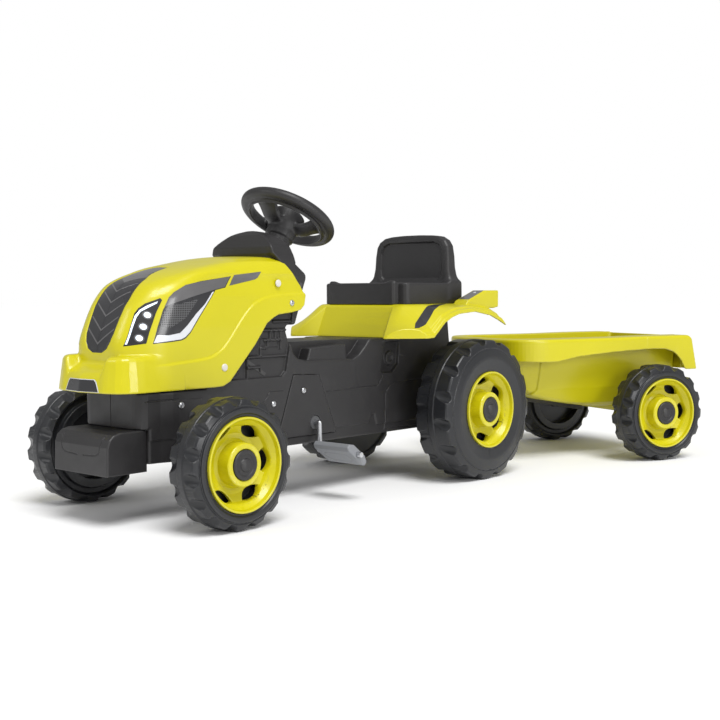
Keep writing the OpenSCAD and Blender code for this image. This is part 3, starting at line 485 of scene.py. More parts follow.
# The corners of the nose follow its slope at this share of its depth, turned by this angle
CORNER_X, CORNER_TURN, CORNER_SLOPE = 50, math.radians(40), 0.76
NOSE_SIDE = np.vstack([HOOD_TOP, [(-734, 190), (-300, 190)]])
CORNER_SIDE = np.vstack([[(700, 190), (700, 417)], (HOOD_TOP - [NOSE_Y, 0]) * [CORNER_SLOPE, 1], [(-1, 190)]])
HOOD_FRONT = [(-120, 150), (-120, 423), (0, 422.5), (50, 421), (68, 417), (80, 407), (88, 387),
              (91.5, 350), (93, 300), (93.4, 150)]
BUMPER_PLAN = [(-200, -640), (93.2, -640), (93.2, -712), (91.5, -726), (87.5, -738), (81, -748), (73, -755),
               (60, -760), (48, -763), (30, -766), (0, -770.5), (-200, -770.5)]
HOOD_EDGE = [(-850, 205.3), (-575, 205.3), (-560, 206), (-545, 213), (-522, 237), (-490, 270),
             (-463, 304), (-448, 313), (-436, 318), (-405, 321), (-384, 325), (-375, 333), (-371, 350),
             (-380, 366), (-396, 386), (-412, 405), (-424.5, 416), (-440, 440), (-850, 460)]
CREASE = curve([(-330, 357), (-388, 353), (-450, 349), (-484, 340), (-512, 319), (-553, 272),
                (-578, 256), (-600, 251), (-640, 248), (-705, 244), (-714, 250), (-726, 258),
                (-745, 261), (-850, 262)], 44)
# The middle strip from side to side and along the way it runs, up the nose and over the top
STRIP = [(0, -395), (12, -395), (24, -391), (31, -383), (35, -372), (37, -350), (40, -318), (39, -295),
         (35, -272), (28, -258), (24, -240), (21.5, -217), (0, -217)]
RUN = (0.77, 0.64)


def strip_t(y, z):
    """How far up the nose and over the top a point of the middle strip lies."""
    return RUN[0] * y + RUN[1] * z


def hood_outer(x, y, z):
    """The outside of the hood and its bumper, not yet hollow or cut to its lower edge."""
    ax = np.abs(x)
    above = step(outline(np.vstack([CREASE, [(-850, 100), (-330, 100)]]), y, z), -2.2, 2.2)
    side = outline(HOOD_FRONT, ax, z) + 2.6 * above * (1 - step(z, 372, 400))
    crown = step(z, 330, 356) * (0.35 + 0.65 * step(-y, 580, 640))
    top = outline(NOSE_SIDE, y, z) + 7 * crown * np.minimum((ax / 62) ** 2, 1.3)
    back = (ax - CORNER_X) * -math.sin(CORNER_TURN) + (y - NOSE_Y) * math.cos(CORNER_TURN)
    f = smax(top, outline(CORNER_SIDE, back, z), 10)
    f = smax(f, side, 16 + 22 * step(-y, 590, 700))
    strip = outline(STRIP, ax, strip_t(y, z)) + 100 * (1 - step(z, 250, 251))
    f = f + 1.4 * within(strip - 1, 1.6)
    plan = outline(BUMPER_PLAN, ax, y) + 0.14 * (z - 206)
    block = step(ax, 40, 54)
    lid = block * (z - 260) + (1 - block) * (z - 245 - 0.5 * (y + 740)) / 1.12
    bumper = smax(plan + 1.8 * (1 - block), lid, 9)
    return smin(f, bumper, 5)


def hood_field(x, y, z):
    """The hood as a shell, with more wall behind the nose."""
    f = hood_outer(x, y, z)
    wall = HOOD_T + 4.5 * step(-y, 705, 730)
    return smax(np.maximum(f, -(f + wall)), outline(HOOD_EDGE, y, z), 2.5)


# ---- dash ----------------------------------------------------------------------------

DASH_SIDE = [(-436, 349), (-372, 349), (-360.5, 377), (-360.5, 388), (-399, 443), (-414, 450.5), (-424, 447),
             (-434, 430)]
DASH_FRONT = [(-100, 349), (84, 349), (84, 384), (61, 418), (43, 445), (30, 451.5), (-100, 451.5)]
HUMP_SIDE = [(-391, 380), (-433.4, 421.5), (-434.2, 432), (-424, 452), (-415, 460), (-408, 459), (-396, 444),
             (-386, 405)]
HUMP_FRONT = curve([(-60, 461), (0, 461), (16, 459.5), (34, 456), (53, 447.5), (71, 435.5), (77, 424),
                    (81, 405), (83, 340)], 30)


def on_column(x, y, z):
    """A point in the steering wheel's own axes, from the middle of its ring."""
    v, w = y - WHEEL_HUB.y, z - WHEEL_HUB.z
    return x, v * math.cos(LEAN) - w * math.sin(LEAN), v * math.sin(LEAN) + w * math.cos(LEAN)


def dash_field(x, y, z):
    """The cover behind the hood, with its hump and the column's boss."""
    ax = np.abs(x)
    f = smax(outline(DASH_SIDE, y, z, 4), outline(DASH_FRONT, ax, z, 4), 9)
    hump = smax(outline(HUMP_SIDE, y, z, 1), outline(np.vstack([HUMP_FRONT, [(-60, 340)]]), ax, z), 3)
    f = smin(f, hump, 7)
    cx, cy, cz = on_column(x, y, z)
    r = np.hypot(cx, cy)
    boss = smax(r - 19.5, np.abs(cz + 97) - 21, 3)
    f = smin(f, boss, 12)
    return smax(f, 11.4 - r, 1)


# ---- chassis -------------------------------------------------------------------------

BODY_W = 85
CRANK_Y, CRANK_Z = -345, 129
CHASSIS_SIDE = [(-712, 147), (-694, 147), (-694, 94), (60, 94), (36, 262), (28, 326.9), (-128, 326.9),
                (-153, 270), (-402, 270), (-372, 349), (-430, 349), (-465, 338), (-500, 315), (-530, 285),
                (-562, 232), (-590, 204.4), (-712, 204.4)]
CHASSIS_PLAN = [(-100, 62), (-100, -712), (54, -712), (62, -710.3), (70, -705), (75, -697), (76, -690),
                (78, -675), (84, -655), (BODY_W, -645), (BODY_W, 62)]
RECESS = [(-368, 238), (-246, 235), (-230, 242), (-212, 258), (-198, 275), (-190, 300), (-412, 300),
          (-402, 270), (-396, 252), (-385, 242)]
FOOT_PAD = [(-362, 232), (-258, 232), (-262, 262), (-352, 258)]
ENGINE = [(-545, 214), (-424, 214), (-414, 222), (-405, 262), (-396, 330), (-470, 330), (-520, 290)]
PIPES = [[(-538, 222), (-528, 222), (-520, 226), (-520, 243), (-508, 249), (-412, 249)],
         [(-500, 214), (-500, 249)], [(-470, 252), (-470, 263), (-456, 263), (-456, 276)],
         [(-462, 276), (-426, 276)], [(-448, 276), (-448, 290)], [(-436, 276), (-436, 290)],
         [(-424, 262), (-424, 290)], [(-470, 292), (-412, 292)], [(-440, 306), (-402, 306)],
         [(-500, 262), (-488, 262), (-488, 286)], [(-500, 232), (-470, 232), (-470, 226)]]
PIPE_BOX = [(-468, 266), (-432, 266), (-432, 276), (-468, 276)]
POCKET = [(-172, 206), (-139, 206), (-122, 220), (-118, 262), (-160, 262)]
GUARD = [(-160, 100), (-158, 168), (-148, 180), (-132, 186), (0, 190), (0, 100)]
SKIRT = [(-700, 130), (-450, 132), (-440, 118), (-205, 116), (-196, 132), (-188, 132), (-182, 112),
         (60, 110), (60, 80), (-700, 80)]
COVER = [(-436, 108), (-292, 108), (-335, 212), (-397, 215)]
SEAMS = [[(-317, 181), (-180, 183), (-166, 200)], [(-436, 108), (-470, 168), (-452, 190), (-420, 190)],
         [(-700, 190), (-600, 190)]]


def chassis_relief(y, z):
    """How far the side wall stands back, at each point of it."""
    d = 5.0 * within(outline(ENGINE, y, z, 6), 0.9)
    for p in PIPES:
        d = d - 3.6 * within(near(p, y, z) - 2.2, 1.3) * (d > 1)
    d = d - 2.2 * within(outline(PIPE_BOX, y, z) - 2, 1.2) * (d > 1)
    d = d + 6.0 * within(outline(POCKET, y, z, 5), 1.2)
    plug = np.hypot(y + 142, z - 232)
    d = d - 4.5 * within(plug - 13, 1.2) + 2.5 * within(plug - 6, 1)
    d = d + 2.2 * within(outline(SKIRT, y, z), 1.4)
    d = d + 1.6 * within(outline(COVER, y, z) - 0.6, 0.6)
    d = d + 1.3 * sum(within(near(s, y, z) - 0.7, 0.8) for s in SEAMS)
    return d + 1.3 * within(np.abs(outline(GUARD, y, z)) - 0.8, 0.8)


def chassis_outer(x, y, z):
    """The outside of the left half, with its foot recess."""
    side = outline(CHASSIS_SIDE, y, z, 2)
    plan = outline(CHASSIS_PLAN, x, y) + chassis_relief(y, z)
    f = smax(side, plan, 5)
    recess = np.maximum(outline(RECESS, y, z, 8), 58 - x)
    f = smax(f, -recess, 4)
    pad = smax(outline(FOOT_PAD, y, z, 3), np.abs(x - 70) - 11.5, 4)
    return smin(f, pad, 2)


def chassis_field(x, y, z):
    """The left half, hollow and cut for what passes through it."""
    f = chassis_outer(x, y, z)
    inner = np.maximum(outline(CHASSIS_SIDE, y, z) + 4.5, outline(CHASSIS_PLAN, x, y) + 10.5)
    inner = np.maximum(inner, -np.maximum(outline(RECESS, y, z) - 4, 53 - x))
    f = np.maximum(f, -inner)
    holes = np.minimum(np.hypot(y - CRANK_Y, z - CRANK_Z) - 12.1, np.hypot(y, z - REAR_R) - 13.1)
    kingpin = np.maximum(np.maximum(np.abs(y - AXLE_Y) - 22, z - 109), 44 - x)
    cx, cy, cz = on_column(x, y, z)
    column = np.maximum(np.hypot(cx, cy) - 10, np.abs(cz + 160) - 40)
    bolt = np.maximum(np.hypot(x - 40, np.maximum(np.abs(y + 30) - 30, 0)) - 5, 305 - z)
    hitch = np.maximum(np.maximum(x - 24.2, np.abs(z - 137) - 14.2), 40 - y)
    for cut in (holes, kingpin, column, bolt, hitch):
        f = np.maximum(f, -cut)
    return np.maximum(f, 0.15 - x)


def weight_field(x, y, z):
    """The block under the nose, with its groove."""
    prof = [(-694.2, 82.5), (-694.2, 147), (-743, 147), (-755, 144), (-763, 137), (-767, 126), (-768, 82.5)]
    f = smax(outline(prof, y, z), np.abs(x) - 69, 3)
    groove = near([(52, 140), (48, 118), (40, 113), (8, 111)], np.abs(x), z) - 0.8
    return f + 1.1 * within(groove, 0.8) * step(-y, 740, 750)


# ---- fender deck and seat ------------------------------------------------------------

ARCH = [(-260, 270), (-141, 270), (-126, 271), (-94, 297), (-72, 307), (-50, 313), (0, 316.5), (50, 308.5),
        (76, 299), (102, 288), (140, 270)]
ARCH_Y, ARCH_Z = np.array(ARCH).T
DECK_PLAN = [(-200, 102), (-200, -164.5), (84, -164.5), (88, -168), (113, -198), (118, -201),
             (124, -198), (172, -146), (175.5, -138), (175.5, 102)]
# The hollow under the deck, open at the back
DECK_HOLLOW = [(x, 140 if y > 100 else y) for x, y in DECK_PLAN]
DECK_Z = 331.5
FIN = [(6, 327), (12, 334), (66, 353), (116, 353), (124, 331), (95, 326)]


def deck_top(x, y):
    """Height of the deck's upper surface: a front panel, two sloping wings and the sides above the wheels."""
    ax = np.abs(x)
    panel = DECK_Z + 2.14 * (y + 136) + 2.5 * np.maximum(ax - 85, 0)
    wing = DECK_Z + 0.86 * (y + 134)
    arch = np.interp(y, ARCH_Y, ARCH_Z) + 7
    crest = np.interp(y, (-200, -190, -140, -96), (274, 281, 312, DECK_Z + 2))
    side = arch + (crest - arch) * (175.5 - ax) / 53 + 2.6 * step(175.5 - ax, 6.5, 10)
    return smin(smin(smin(panel, wing, 3), side, 5), DECK_Z + 0 * ax, 6)


def deck_field(x, y, z):
    """The deck as a shell, cut to the arches and the tail, with a fin over each wheel."""
    ax = np.abs(x)
    top = deck_top(x, y)
    steep = np.sqrt(1 + (deck_top(x + 1, y) - top) ** 2 + (deck_top(x, y + 1) - top) ** 2)
    plan = outline(DECK_PLAN, ax, y)
    f = smax((z - top) / steep, plan, 2)
    f = np.maximum(f, -np.maximum((z - top) / steep + 4.2, outline(DECK_HOLLOW, ax, y) + 4.2))
    f = np.maximum(f, np.interp(y, ARCH_Y, ARCH_Z) - z)
    tail = np.minimum(0.9 * (y - 73) + 0.435 * (z - 332), 0.68 * (y - 88) + 0.73 * (z - 301))
    f = np.maximum(f, tail)
    fin = smax(outline(FIN, y, z, 2), np.abs(ax - 134) - 16, 3)
    f = smin(f, fin, 2)
    gap = np.maximum(ax - 72, 70 - y)
    bolt = np.hypot(ax - 40, np.maximum(np.abs(y + 30) - 30, 0)) - 5
    return np.maximum(np.maximum(f, -gap), -bolt)


SEAT_Z = 372
SEAT_PLAN = [(-150, 47), (-150, -134), (80, -134), (84, -130), (86, -122.5), (98, -121.5), (103, -118),
             (105.5, -112), (105.5, -100), (103, 47)]
SEAT_HOLLOW = [(-150, 60), (-150, -117), (72, -117), (90, -99), (92, 60)]
BACK = [(-150, 340), (104, 340), (104, 376), (99, 388), (96, 402), (95, 425), (92, 445), (85, 456),
        (72, 463.5), (50, 467.5), (20, 469.5), (-150, 470)]
BACK_SIDE = [(12, 340), (47, 340), (42, 470), (19, 470)]
PANEL = [(-150, 380), (70, 380), (76, 386), (79, 400), (78, 432), (72, 446), (58, 452), (-150, 454)]


def seat_field(x, y, z):
    """The seat's dished pan and its back with a sunk panel."""
    ax = np.abs(x)
    rim = outline(SEAT_HOLLOW, ax, y)
    lid = SEAT_Z - 5 * within(rim + 4, 6) + 4 * within(np.hypot((ax - 76) / 3, y + 128) - 4, 3)
    pan = smax(smax(outline(SEAT_PLAN, ax, y), z - lid, 5), 331.4 - z, 1.5)
    back = smax(outline(BACK_SIDE, y, z), outline(BACK, ax, z), 10)
    panel = outline(PANEL, ax, z)
    front = 1 - step(y, 28, 30)
    back = back + front * (3.2 * within(panel, 2.2) + 1.6 * within(panel - 4, 5))
    return smin(pan, back, 13)


# ---- steering wheel, horn and pedals --------------------------------------------------

RING_R, RING_T = 77.5, 10.5
HUB = [(6.2, -74), (23, -74), (23, -46), (26, -43), (26, -30), (30, -8), (31, 3), (27, 7), (20, 7.5),
       (18, 6), (17.8, -11.5), (6.2, -11.5)]
SKIRT_IN = [(66, -13), (69, -14), (73, -6), (71, 4), (67, 3)]


def steering_wheel_field(x, y, z):
    """The ring, three wide spokes and the hub with its well for the horn."""
    r = np.hypot(x, y)
    f = smin(np.hypot(r - RING_R, z * 1.06) - RING_T, outline(SKIRT_IN, r, z, 0.8), 4)
    for a in (-90, 30, 150):
        c, s = math.cos(math.radians(a)), math.sin(math.radians(a))
        along, across = x * c + y * s, -x * s + y * c
        drop = -22 + 18 * step(along, 28, 66)
        wide = 19 + 9 * step(along, 40, 74) - 3 * step(34 - along, 0, 20)
        bend = drop + 0.012 * across ** 2
        spoke = smax(smax(np.abs(across) - wide, np.abs(z - bend) - 4.5, 4), np.abs(along - 48) - 24, 2)
        f = smin(f, spoke, 6)
    f = smin(f, outline(HUB, r, z, 0.8), 5)
    f = np.maximum(f, -np.maximum(r - 17.8, -11.5 - z))
    return np.maximum(f, 6.2 - r)


def horn_field(x, y, z):
    return revolve([(0, -2), (14, -2), (17, -2), (17, 5), (15, 8), (11, 9.6), (0, 10.6)], z, x, y, 0.8)


PEDAL = [(-27.5, -5), (-21, -8.5), (21, -8.5), (27.5, -5), (27.5, 2.5), (17, 8.5), (-17, 8.5), (-27.5, 2.5)]
PEDAL_HALF, PEDAL_TILT = 41, math.radians(-38)


def pedal_field(x, y, z):
    """A pedal on its spindle along x, with a groove on both treads."""
    f = smax(outline(PEDAL, y, z, 2.5), np.abs(x) - PEDAL_HALF, 3.5)
    ring = smax(np.abs(x) - 30, np.abs(y) - 13, 10)
    f = f + 0.9 * within(np.abs(ring + 2) - 0.7, 0.7) * step(np.abs(z), 5, 6)
    return np.maximum(f, 4.6 - np.hypot(y, z))


# ---- trailer: x to its left, y back from its axle --------------------------------------

TUB_SIDE = curve([(-323, 262), (-305, 200), (-277, 150), (-220, 128), (-151, 115), (-69, 103), (0, 100.5),
                  (70, 104), (100, 126), (114, 180), (120, 262)], 30)
TUB_PLAN = [(-200, 121), (118, 121), (118, -262), (113, -284), (100, -304), (80, -317), (58, -322),
            (-200, -322)]
TUB_SECTION = [(-200, 60), (30, 98), (70, 102), (96, 116), (108, 150), (114, 200), (118, 262), (118, 340),
               (-200, 340)]
TUB_PANEL = [(-350, 240), (-350, 150), (-262, 133), (-246, 150), (-236, 240)]
NOSE_CURVE = curve([(160, -200), (160, -235), (157, -264), (148, -290), (131, -311), (108, -324), (78, -330),
                    (40, -331)], 26)
RIM_PLAN = np.vstack([[(-200, 122), (150, 122), (160, 90)], NOSE_CURVE, [(-200, -331)]])
RIM_LOW = [(-340, 212), (-236, 210), (-176, 220), (-83, 227), (14, 231), (47, 230), (68, 224), (80, 216),
           (92, 203), (99, 190), (104, 184.5), (140, 184.5)]
LOW_B, LOW_Z = np.array(RIM_LOW).T


def tub_outer(x, b, z):
    """The outside of the tub, with the sunk panel on its front."""
    ax = np.abs(x)
    side = outline(np.vstack([TUB_SIDE, [(120, 340), (-323, 340)]]), b, z)
    f = smax(smax(side, outline(TUB_PLAN, ax, b), 14), outline(TUB_SECTION, ax, z), 14)
    return f + 3 * within(outline(TUB_PANEL, b, z, 6), 2.5)


def trailer_field(x, b, z):
    """The hollow tub with its wide rim and the beam over its axle."""
    ax = np.abs(x)
    tub = tub_outer(x, b, z)
    top = 257 + 1.5 * step(b, -120, 20) - 6 * step(b, 108, 124)
    flare = 4 * step(b, 84, 130)
    plan = smin(outline(RIM_PLAN, ax, b) - flare,
                smax(smax(ax - 160 - flare, b - 131 + 0.2 * (z - 184), 2), np.maximum(118 - ax, -b), 2), 4)
    low = np.interp(b, LOW_B, LOW_Z)
    rim = smax(smax(plan, z - top, 7), low - z, 2)
    under = np.maximum(plan + 3.5, z - top + 4)
    rim = np.maximum(rim, -under)
    f = smin(rim, np.maximum(tub, z - top + 1), 3)
    inner = smax(tub + 3.5, 60 - z, 2)
    axle = smax(smax(ax - 112, np.abs(b) - 14, 3), np.abs(z - SMALL_R) - 11, 3)
    f = smax(f, -inner, 2)
    f = smin(f, smax(axle, 92 - z, 2), 4)
    return np.maximum(f, 6.2 - np.hypot(b, z - SMALL_R))


# ---- printed films ----------------------------------------------------------------------

# Outlines on the left of the hood as (y, z)
HEAD_LAMP = [(-727, 275), (-715, 305), (-707, 324), (-701, 332), (-692, 339), (-672, 347), (-670, 344),
             (-681, 325), (-694, 296), (-700, 279)]
LAMP_LINE = [(-725, 278), (-713, 308), (-707, 321), (-700, 329.5), (-690, 336), (-676, 342), (-677.5, 339.2),
             (-689, 333), (-699.5, 326.8), (-706, 318), (-713, 303), (-723, 278)]
LEDS = [(-692.5, 321.5), (-700.6, 304), (-708, 287)]
SIDE_FILM = [(-691, 278), (-682, 303), (-671, 329), (-668, 333.5), (-660, 348), (-651, 356), (-629, 367),
             (-599, 373), (-537, 381), (-550, 363), (-571, 359), (-590, 335.5), (-606.5, 315.6),
             (-624.5, 293), (-634, 285), (-642, 282)]
SIDE_BAND = [(-668, 334), (-660, 348), (-651, 356), (-629, 367), (-599, 372.5), (-539, 380.5), (-551, 364),
             (-571, 360), (-620, 348.5), (-653, 339.5)]
CHROME = [(-690, 279.5), (-684, 291), (-666, 290.5), (-645, 293.5), (-630, 305), (-612, 322.5),
          (-594, 337), (-578, 356), (-574.5, 356.5), (-591.5, 336), (-607.5, 317), (-625.5, 294.5),
          (-635, 286.8), (-643, 283.8)]
GRILLE = [(-671, 327), (-679, 306), (-662, 302), (-633, 316), (-621, 329), (-607, 345), (-650, 337)]
REAR_FILM = [(-541, 366), (-530, 383), (-471, 389), (-479, 379), (-486, 376)]
# Tips of the strip's chevrons as how far up the strip they are, with the rise and width of their arms
CHEVRONS = [-386, -368, -347, -326, -307]
CHEVRON_ARM, CHEVRON_RISE, CHEVRON_W = 33, 20, 2.4
STRIP_END = [(0, -286), (32, -266), (26, -258), (22.5, -240), (20, -219), (-20, -219), (-22.5, -240),
             (-26, -258), (-32, -266)]
PLATE = [(-41, 207.5), (41, 207.5), (34, 222), (30, 225), (-30, 225), (-34, 222)]
# On the left of the deck as (x, y)
BLADE = [(155, -158), (146, -145), (140, -126), (136, -104), (134, -82), (131, -58), (126, -28),
         (137, -50), (146, -80), (153, -108), (157, -134), (158, -150)]
FIN_FILM = [(122, 17), (146, 17), (146, 64), (122, 64)]
FIN_DOT = (134, 52)


def lay(f, pts, base, way, far):
    """Points of a flat outline dropped on to a surface, from the distance far back along a direction."""
    start = base(pts[:, 0], pts[:, 1])
    way = np.array(way, float)
    s = np.arange(far, far - 120, -1.0)
    values = np.array([f(*(start + way * k).T) for k in s])
    first = np.argmax(values < 0, axis=0)
    hi = s[np.maximum(first - 1, 0)]
    lo = s[first]
    for _ in range(12):
        mid = (hi + lo) / 2
        inside = f(*(start + way * mid[:, None]).T) < 0
        lo, hi = np.where(inside, mid, lo), np.where(inside, hi, mid)
    return start + way * hi[:, None]


def patch(name, node, f, pts, base, way, far, mat, lift=0.35, cell=4.0):
    """A thin printed film that follows a surface, with its rim turned down into it."""
    pts = np.array(pts, float)
    ring = []
    for a, b in zip(pts, np.roll(pts, -1, axis=0)):
        n = max(1, int(np.hypot(*(b - a)) / cell))
        ring += [a + (b - a) * k / n for k in range(n)]
    lo, hi = pts.min(0), pts.max(0)
    u, v = np.meshgrid(np.arange(lo[0], hi[0], cell), np.arange(lo[1], hi[1], cell))
    inner = np.stack([u.ravel(), v.ravel()], 1)
    inner = inner[outline(pts, inner[:, 0], inner[:, 1]) < -0.45 * cell]
    flat = [Vector(q) for q in ring + list(inner)]
    found = delaunay_2d_cdt(flat, [], [list(range(len(ring)))], 1, 1e-6)
    flat, tris = np.array([list(q) for q in found[0]]), [list(t) for t in found[2]]
    on = lay(f, flat, base, way, far)
    g = gradient(f, on, 0.6)
    g /= np.linalg.norm(g, axis=1)[:, None]
    p, q, r = tris[0]
    if np.cross(on[q] - on[p], on[r] - on[p]) @ g[p] < 0:
        tris = [t[::-1] for t in tris]
    used = {(a, b) for t in tris for a, b in zip(t, t[1:] + t[:1])}
    rim = [(a, b) for a, b in used if (b, a) not in used]
    n = len(on)
    skirt = [[b, a, a + n, b + n] for a, b in rim]
    points = np.vstack([on + g * lift, on - g * 0.5])
    o = mesh_of("look_" + name, points, tris + skirt, TRACTOR, np.vstack([g, g]))
    finish(o, mat, "root")
    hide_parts(node)


def circle(u, v, r, n=20):
    turns = [2 * math.pi * k / n for k in range(n)]
    return [(u + r * math.cos(a), v + r * math.sin(a)) for a in turns]


def films():
    """The films on the hood and the deck, and the plate on the bumper."""
    for side, sign in (("left", 1), ("right", -1)):
        def along_x(u, v):
            return np.stack([0 * u, u, v], 1)

        def put(name, pts, mat, lift=0.35, cell=4.0):
            patch(f"{name}_{side}", "hood", hood_outer, pts, along_x, (sign, 0, 0), 110, mat, lift, cell)

        put("head_lamp", HEAD_LAMP, DARK_FILM)
        # The lamp line and the LEDs wear the printed film with the painted glow
        put("lamp_line", LAMP_LINE, GLOWING_LAMP_FILM, 0.7, 2.0)
        for k, (u, v) in enumerate(LEDS):
            put(f"led_halo_{k}", circle(u, v, 6.4), GREY_FILM, 0.6, 2.0)
            put(f"led_{k}", circle(u, v, 4.4), GLOWING_LAMP_FILM, 0.9, 2.0)
        put("side_film", SIDE_FILM, DARK_FILM)
        put("side_band", SIDE_BAND, GREY_FILM, 0.65)
        put("side_chrome", CHROME, PALE_FILM, 0.65, 2.0)
        put("side_grille", GRILLE, GRILLE_FILM, 0.6)
        put("rear_film", REAR_FILM, GREY_FILM)

        def above(u, v):
            return np.stack([sign * u, v, 0 * u], 1)

        def top(name, pts, mat, lift=0.4):
            patch(f"{name}_{side}", "fender_deck", deck_field, pts, above, (0, 0, 1), 380, mat, lift, 3.0)

        top("blade", BLADE, DARK_FILM)
        top("fin_film", FIN_FILM, GREY_FILM)
        top("fin_dot", circle(*FIN_DOT, 3), PALE_FILM, 0.8)

    def on_strip(u, v):
        return np.stack([u, RUN[0] * v, RUN[1] * v], 1)

    def run(name, pts, mat, lift=0.3):
        patch(name, "hood", hood_outer, pts, on_strip, (0, -RUN[1], RUN[0]), 740, mat, lift)

    half = [(x - 0.6 * (x > 1), t) for x, t in STRIP]
    ring = half + [(-x, t) for x, t in half[::-1]]
    run("strip", [q for q in ring if abs(q[0]) > 0.01], DARK_FILM)
    for k, tip in enumerate(CHEVRONS):
        end = tip + CHEVRON_RISE
        run(f"chevron_{k}", [(0, tip), (CHEVRON_ARM, end), (CHEVRON_ARM, end + CHEVRON_W),
                             (0, tip + CHEVRON_W), (-CHEVRON_ARM, end + CHEVRON_W),
                             (-CHEVRON_ARM, end)], GREY_FILM, 0.55)
    run("strip_end", STRIP_END, GREY_FILM, 0.55)

    def ahead(u, v):
        return np.stack([u, 0 * u, v], 1)

    low = PLATE[0][1]
    frame_line = [(x * 1.05, low - 0.7 + (z - low) * 1.1) for x, z in PLATE]
    patch("plate_rim", "hood", hood_outer, frame_line, ahead, (0, -1, 0), 800, PALE_FILM, 0.3)
    patch("plate", "hood", hood_outer, PLATE, ahead, (0, -1, 0), 800, DARK_FILM, 0.6)


# ---- placing the shapes ---------------------------------------------------------------

def shape(name, nodes, field, lo, hi, cell, keep, mat, body="root", matrix=TRACTOR):
    """A piece that stands for the CAD nodes of the same thing."""
    o = solid("look_" + name, field, lo, hi, cell * COARSE, matrix, keep if COARSE == 1 else 1, mat, body)
    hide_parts(*nodes)
    return o


def half_shapes():
    """The left half of the chassis, and the right half as its mirror image."""
    left = shape("chassis_left", ["chassis_left"], chassis_field, (0, -714, 92), (87, 63, 351), 1.7, 0.28,
                 BLACK)
    v = np.empty(len(left.data.vertices) * 3)
    left.data.vertices.foreach_get("co", v)
    n = np.array([list(c.vector) for c in left.data.corner_normals])
    loops = np.empty(len(left.data.loops), int)
    left.data.loops.foreach_get("vertex_index", loops)
    normals = np.zeros((len(v) // 3, 3))
    normals[loops] = n
    flip = np.array([-1, 1, 1])
    v = (v.reshape(-1, 3) - np.array(ORIGIN)) * flip + np.array(ORIGIN)
    faces = [list(p.vertices)[::-1] for p in left.data.polygons]
    right = mesh_of("look_chassis_right", v, faces, Matrix(), normals * flip)
    finish(right, BLACK, "root")
    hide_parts("chassis_right")


def cover_field(x, y, z):
    """The covers over the crank on both sides, each with a hole for its axle."""
    f = smax(outline(COVER, y, z, 4) + 0.5, np.abs(np.abs(x) - 84.2) - 1.6, 1.2)
    return np.maximum(f, 12.6 - np.hypot(y - CRANK_Y, z - CRANK_Z))


def head_field(x, y, z):
    """A pan head with a cross recess, its axis along x and its seat at x = 0."""
    dome = revolve([(0, -3), (5.2, -3), (5.2, 0.6), (4.4, 2.2), (2.5, 3), (0, 3.2)], x, y, z, 0.4)
    f = smax(dome, -x - 0.2, 0.3)
    cross = np.minimum(np.maximum(np.abs(y) - 0.7, np.abs(z) - 2.6),
                       np.maximum(np.abs(z) - 0.7, np.abs(y) - 2.6))
    return np.maximum(f, -np.maximum(cross, 1.4 - x))


def rivet_field(x, y, z):
    return smax(revolve([(0, -2), (6.2, -2), (6.2, 0.8), (5, 2), (0, 2.4)], x, y, z, 0.5), -x - 0.2, 0.3)


def studs(name, node, field, places, mat, cell):
    """Copies of one small head at each place on both sides, as one piece."""
    o = solid("look_" + name, field, (-1, -7, -7), (4, 7, 7), cell, LOCAL, 1, mat, "root")
    base = o.data
    v = np.empty(len(base.vertices) * 3)
    base.vertices.foreach_get("co", v)
    v = v.reshape(-1, 3) / MM
    faces = np.array([list(p.vertices) for p in base.polygons])
    bpy.data.objects.remove(o)
    points, rings = [], []
    for px, py, pz in places:
        for side in (1, -1):
            rings.append(faces[:, ::side] + sum(len(p) for p in points))
            points.append(v * (side, 1, 1) + (side * px, py, pz))
    o = finish(mesh_of("look_" + name, np.vstack(points), np.vstack(rings)), mat, "root")
    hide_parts(node)


def shapes():
    shape("hood", ["hood"], hood_field, (-94, -774, 203), (94, -370, 424), 1.7, 0.4, LIME)
    shape("dash", ["dash"], dash_field, (-86, -438, 345), (86, -340, 464), 1.5, 0.4, BLACK)
    half_shapes()
    shape("side_covers", ["side_cover_left", "side_cover_right"], cover_field, (-87, -438, 106),
          (87, -290, 217), 1.3, 0.3, BLACK)
    shape("front_weight", ["front_weight"], weight_field, (-70, -770, 82), (70, -693, 148), 1.5, 0.35, BLACK)
    shape("fender_deck", ["fender_deck"], deck_field, (-177, -205, 267), (177, 104, 356), 1.6, 0.4, LIME)
    shape("seat", ["seat"], seat_field, (-113, -135, 331), (113, 68, 471), 1.7, 0.35, BLACK, "seat")
    shape("steering_wheel", ["steering_wheel"], steering_wheel_field, (-89, -89, -75), (89, 89, 12), 1.5,
          0.35, BLACK, "steering", STEERING)
    shape("horn_button", ["horn_button"], horn_field, (-18, -18, -3), (18, 18, 11), 0.9, 0.6, BLACK, "horn",
          STEERING)
    for side, sign in (("left", 1), ("right", -1)):
        at = (joint(f"pedal_{side}_spin") - ORIGIN) / MM
        place = TRACTOR @ Matrix.Translation(at) @ Matrix.Rotation(PEDAL_TILT, 4, "X")
        shape(f"pedal_{side}", [f"pedal_{side}"], pedal_field, (-42, -28, -9), (42, 28, 9), 1.2, 0.35, GREY,
              f"pedal_{side}", place)
    shape("trailer_tub", ["trailer_tub"], trailer_field, (-168, -333, 88), (168, 133, 260), 2.0, 0.4, LIME,
          "trailer", TRAILER)
    screws = [(BODY_W, -444, 169), (BODY_W, -640, 182), (BODY_W, -20, 200), (BODY_W + 1, -374, 187)]
    studs("chassis_screws", "chassis_screws", head_field, screws, STEEL, 0.6)
    studs("hood_screws", "hood_screws", head_field, [(91.6, -406, 337)], STEEL, 0.6)
    studs("hood_rivets", "hood_rivets", rivet_field, [(90.2, -436, 370), (92.8, -558, 236)], RIVET, 0.7)


shapes()
films()
wheels()


# ---- light, floor and camera ----------------------------------------------------------

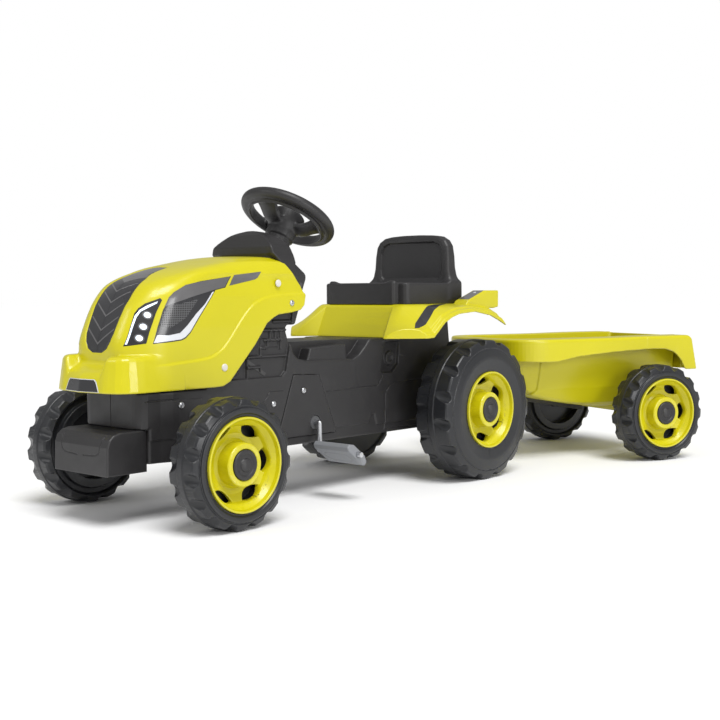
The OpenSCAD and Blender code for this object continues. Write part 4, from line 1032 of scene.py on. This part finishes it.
def lamp(kind, name, at, power, size):
    """A light aimed at the origin; size is a sun's angle or an area's side."""
    data = bpy.data.lights.new(name, kind)
    data.energy = power
    if kind == "SUN":
        data.angle = size
    else:
        data.size = size
    o = bpy.data.objects.new(name, data)
    bpy.context.collection.objects.link(o)
    o.location = at
    o.rotation_mode = "QUATERNION"
    o.rotation_quaternion = (Vector((0, 0, 0.2)) - Vector(at)).to_track_quat("-Z", "Y")


def studio():
    """A white world that lights less than it shows, a pale floor and three lights."""
    world = bpy.data.worlds.new("studio")
    bpy.context.scene.world = world
    world.use_nodes = True
    nodes, link = world.node_tree.nodes, world.node_tree.links.new
    seen, soft = nodes["Background"], nodes.new("ShaderNodeBackground")
    seen.inputs["Color"].default_value = (1, 1, 1, 1)
    seen.inputs["Strength"].default_value = 1.0
    soft.inputs["Color"].default_value = (1, 1, 1, 1)
    soft.inputs["Strength"].default_value = 0.42
    pick = nodes.new("ShaderNodeMixShader")
    link(nodes.new("ShaderNodeLightPath").outputs["Is Camera Ray"], pick.inputs[0])
    link(soft.outputs[0], pick.inputs[1])
    link(seen.outputs[0], pick.inputs[2])
    link(pick.outputs[0], nodes["World Output"].inputs["Surface"])
    me = bpy.data.meshes.new("floor")
    size = 30
    corners = [(-size, -size, 0), (size, -size, 0), (size, size, 0), (-size, size, 0)]
    me.from_pydata(corners, [], [(0, 1, 2, 3)])
    floor = bpy.data.objects.new("floor", me)
    bpy.context.collection.objects.link(floor)
    white = bpy.data.materials.new("floor_white")
    white.use_nodes = True
    shader = white.node_tree.nodes["Principled BSDF"]
    shader.inputs["Base Color"].default_value = (0.98, 0.98, 0.98, 1)
    shader.inputs["Roughness"].default_value = 0.9
    me.materials.append(white)
    lamp("SUN", "key", (1.5, -0.7, 2.9), 2.4, 0.5)
    lamp("AREA", "side", (2.6, -0.5, 0.9), 16, 0.7)
    lamp("AREA", "front", (-0.8, -2.6, 1.6), 7, 0.6)


def camera():
    """From the left front, at the height of the hood."""
    data = bpy.data.cameras.new("camera")
    data.lens, data.sensor_width = 57.67, 36
    cam = bpy.data.objects.new("camera", data)
    bpy.context.collection.objects.link(cam)
    yaw, pitch, roll = math.radians(42.16), math.radians(-3.35), math.radians(-0.3)
    turn = Matrix.Rotation(yaw, 4, "Z") @ Matrix.Rotation(math.pi / 2 + pitch, 4, "X")
    turn = turn @ Matrix.Rotation(roll, 4, "Z")
    cam.matrix_world = Matrix.Translation(ORIGIN + Vector((1.481, -1.770, 0.354))) @ turn
    bpy.context.scene.camera = cam


studio()
camera()
bpy.context.scene.view_settings.view_transform = "Standard"

# What still shows of the frame wears the same materials
for slot_name, mat in MATERIALS.items():
    for row in frame["record"]["subparts"]:
        if row["material_slot"] == slot_name:
            node = frame["nodes"][row["node"]]
            node.data.materials.clear()
            node.data.materials.append(mat)
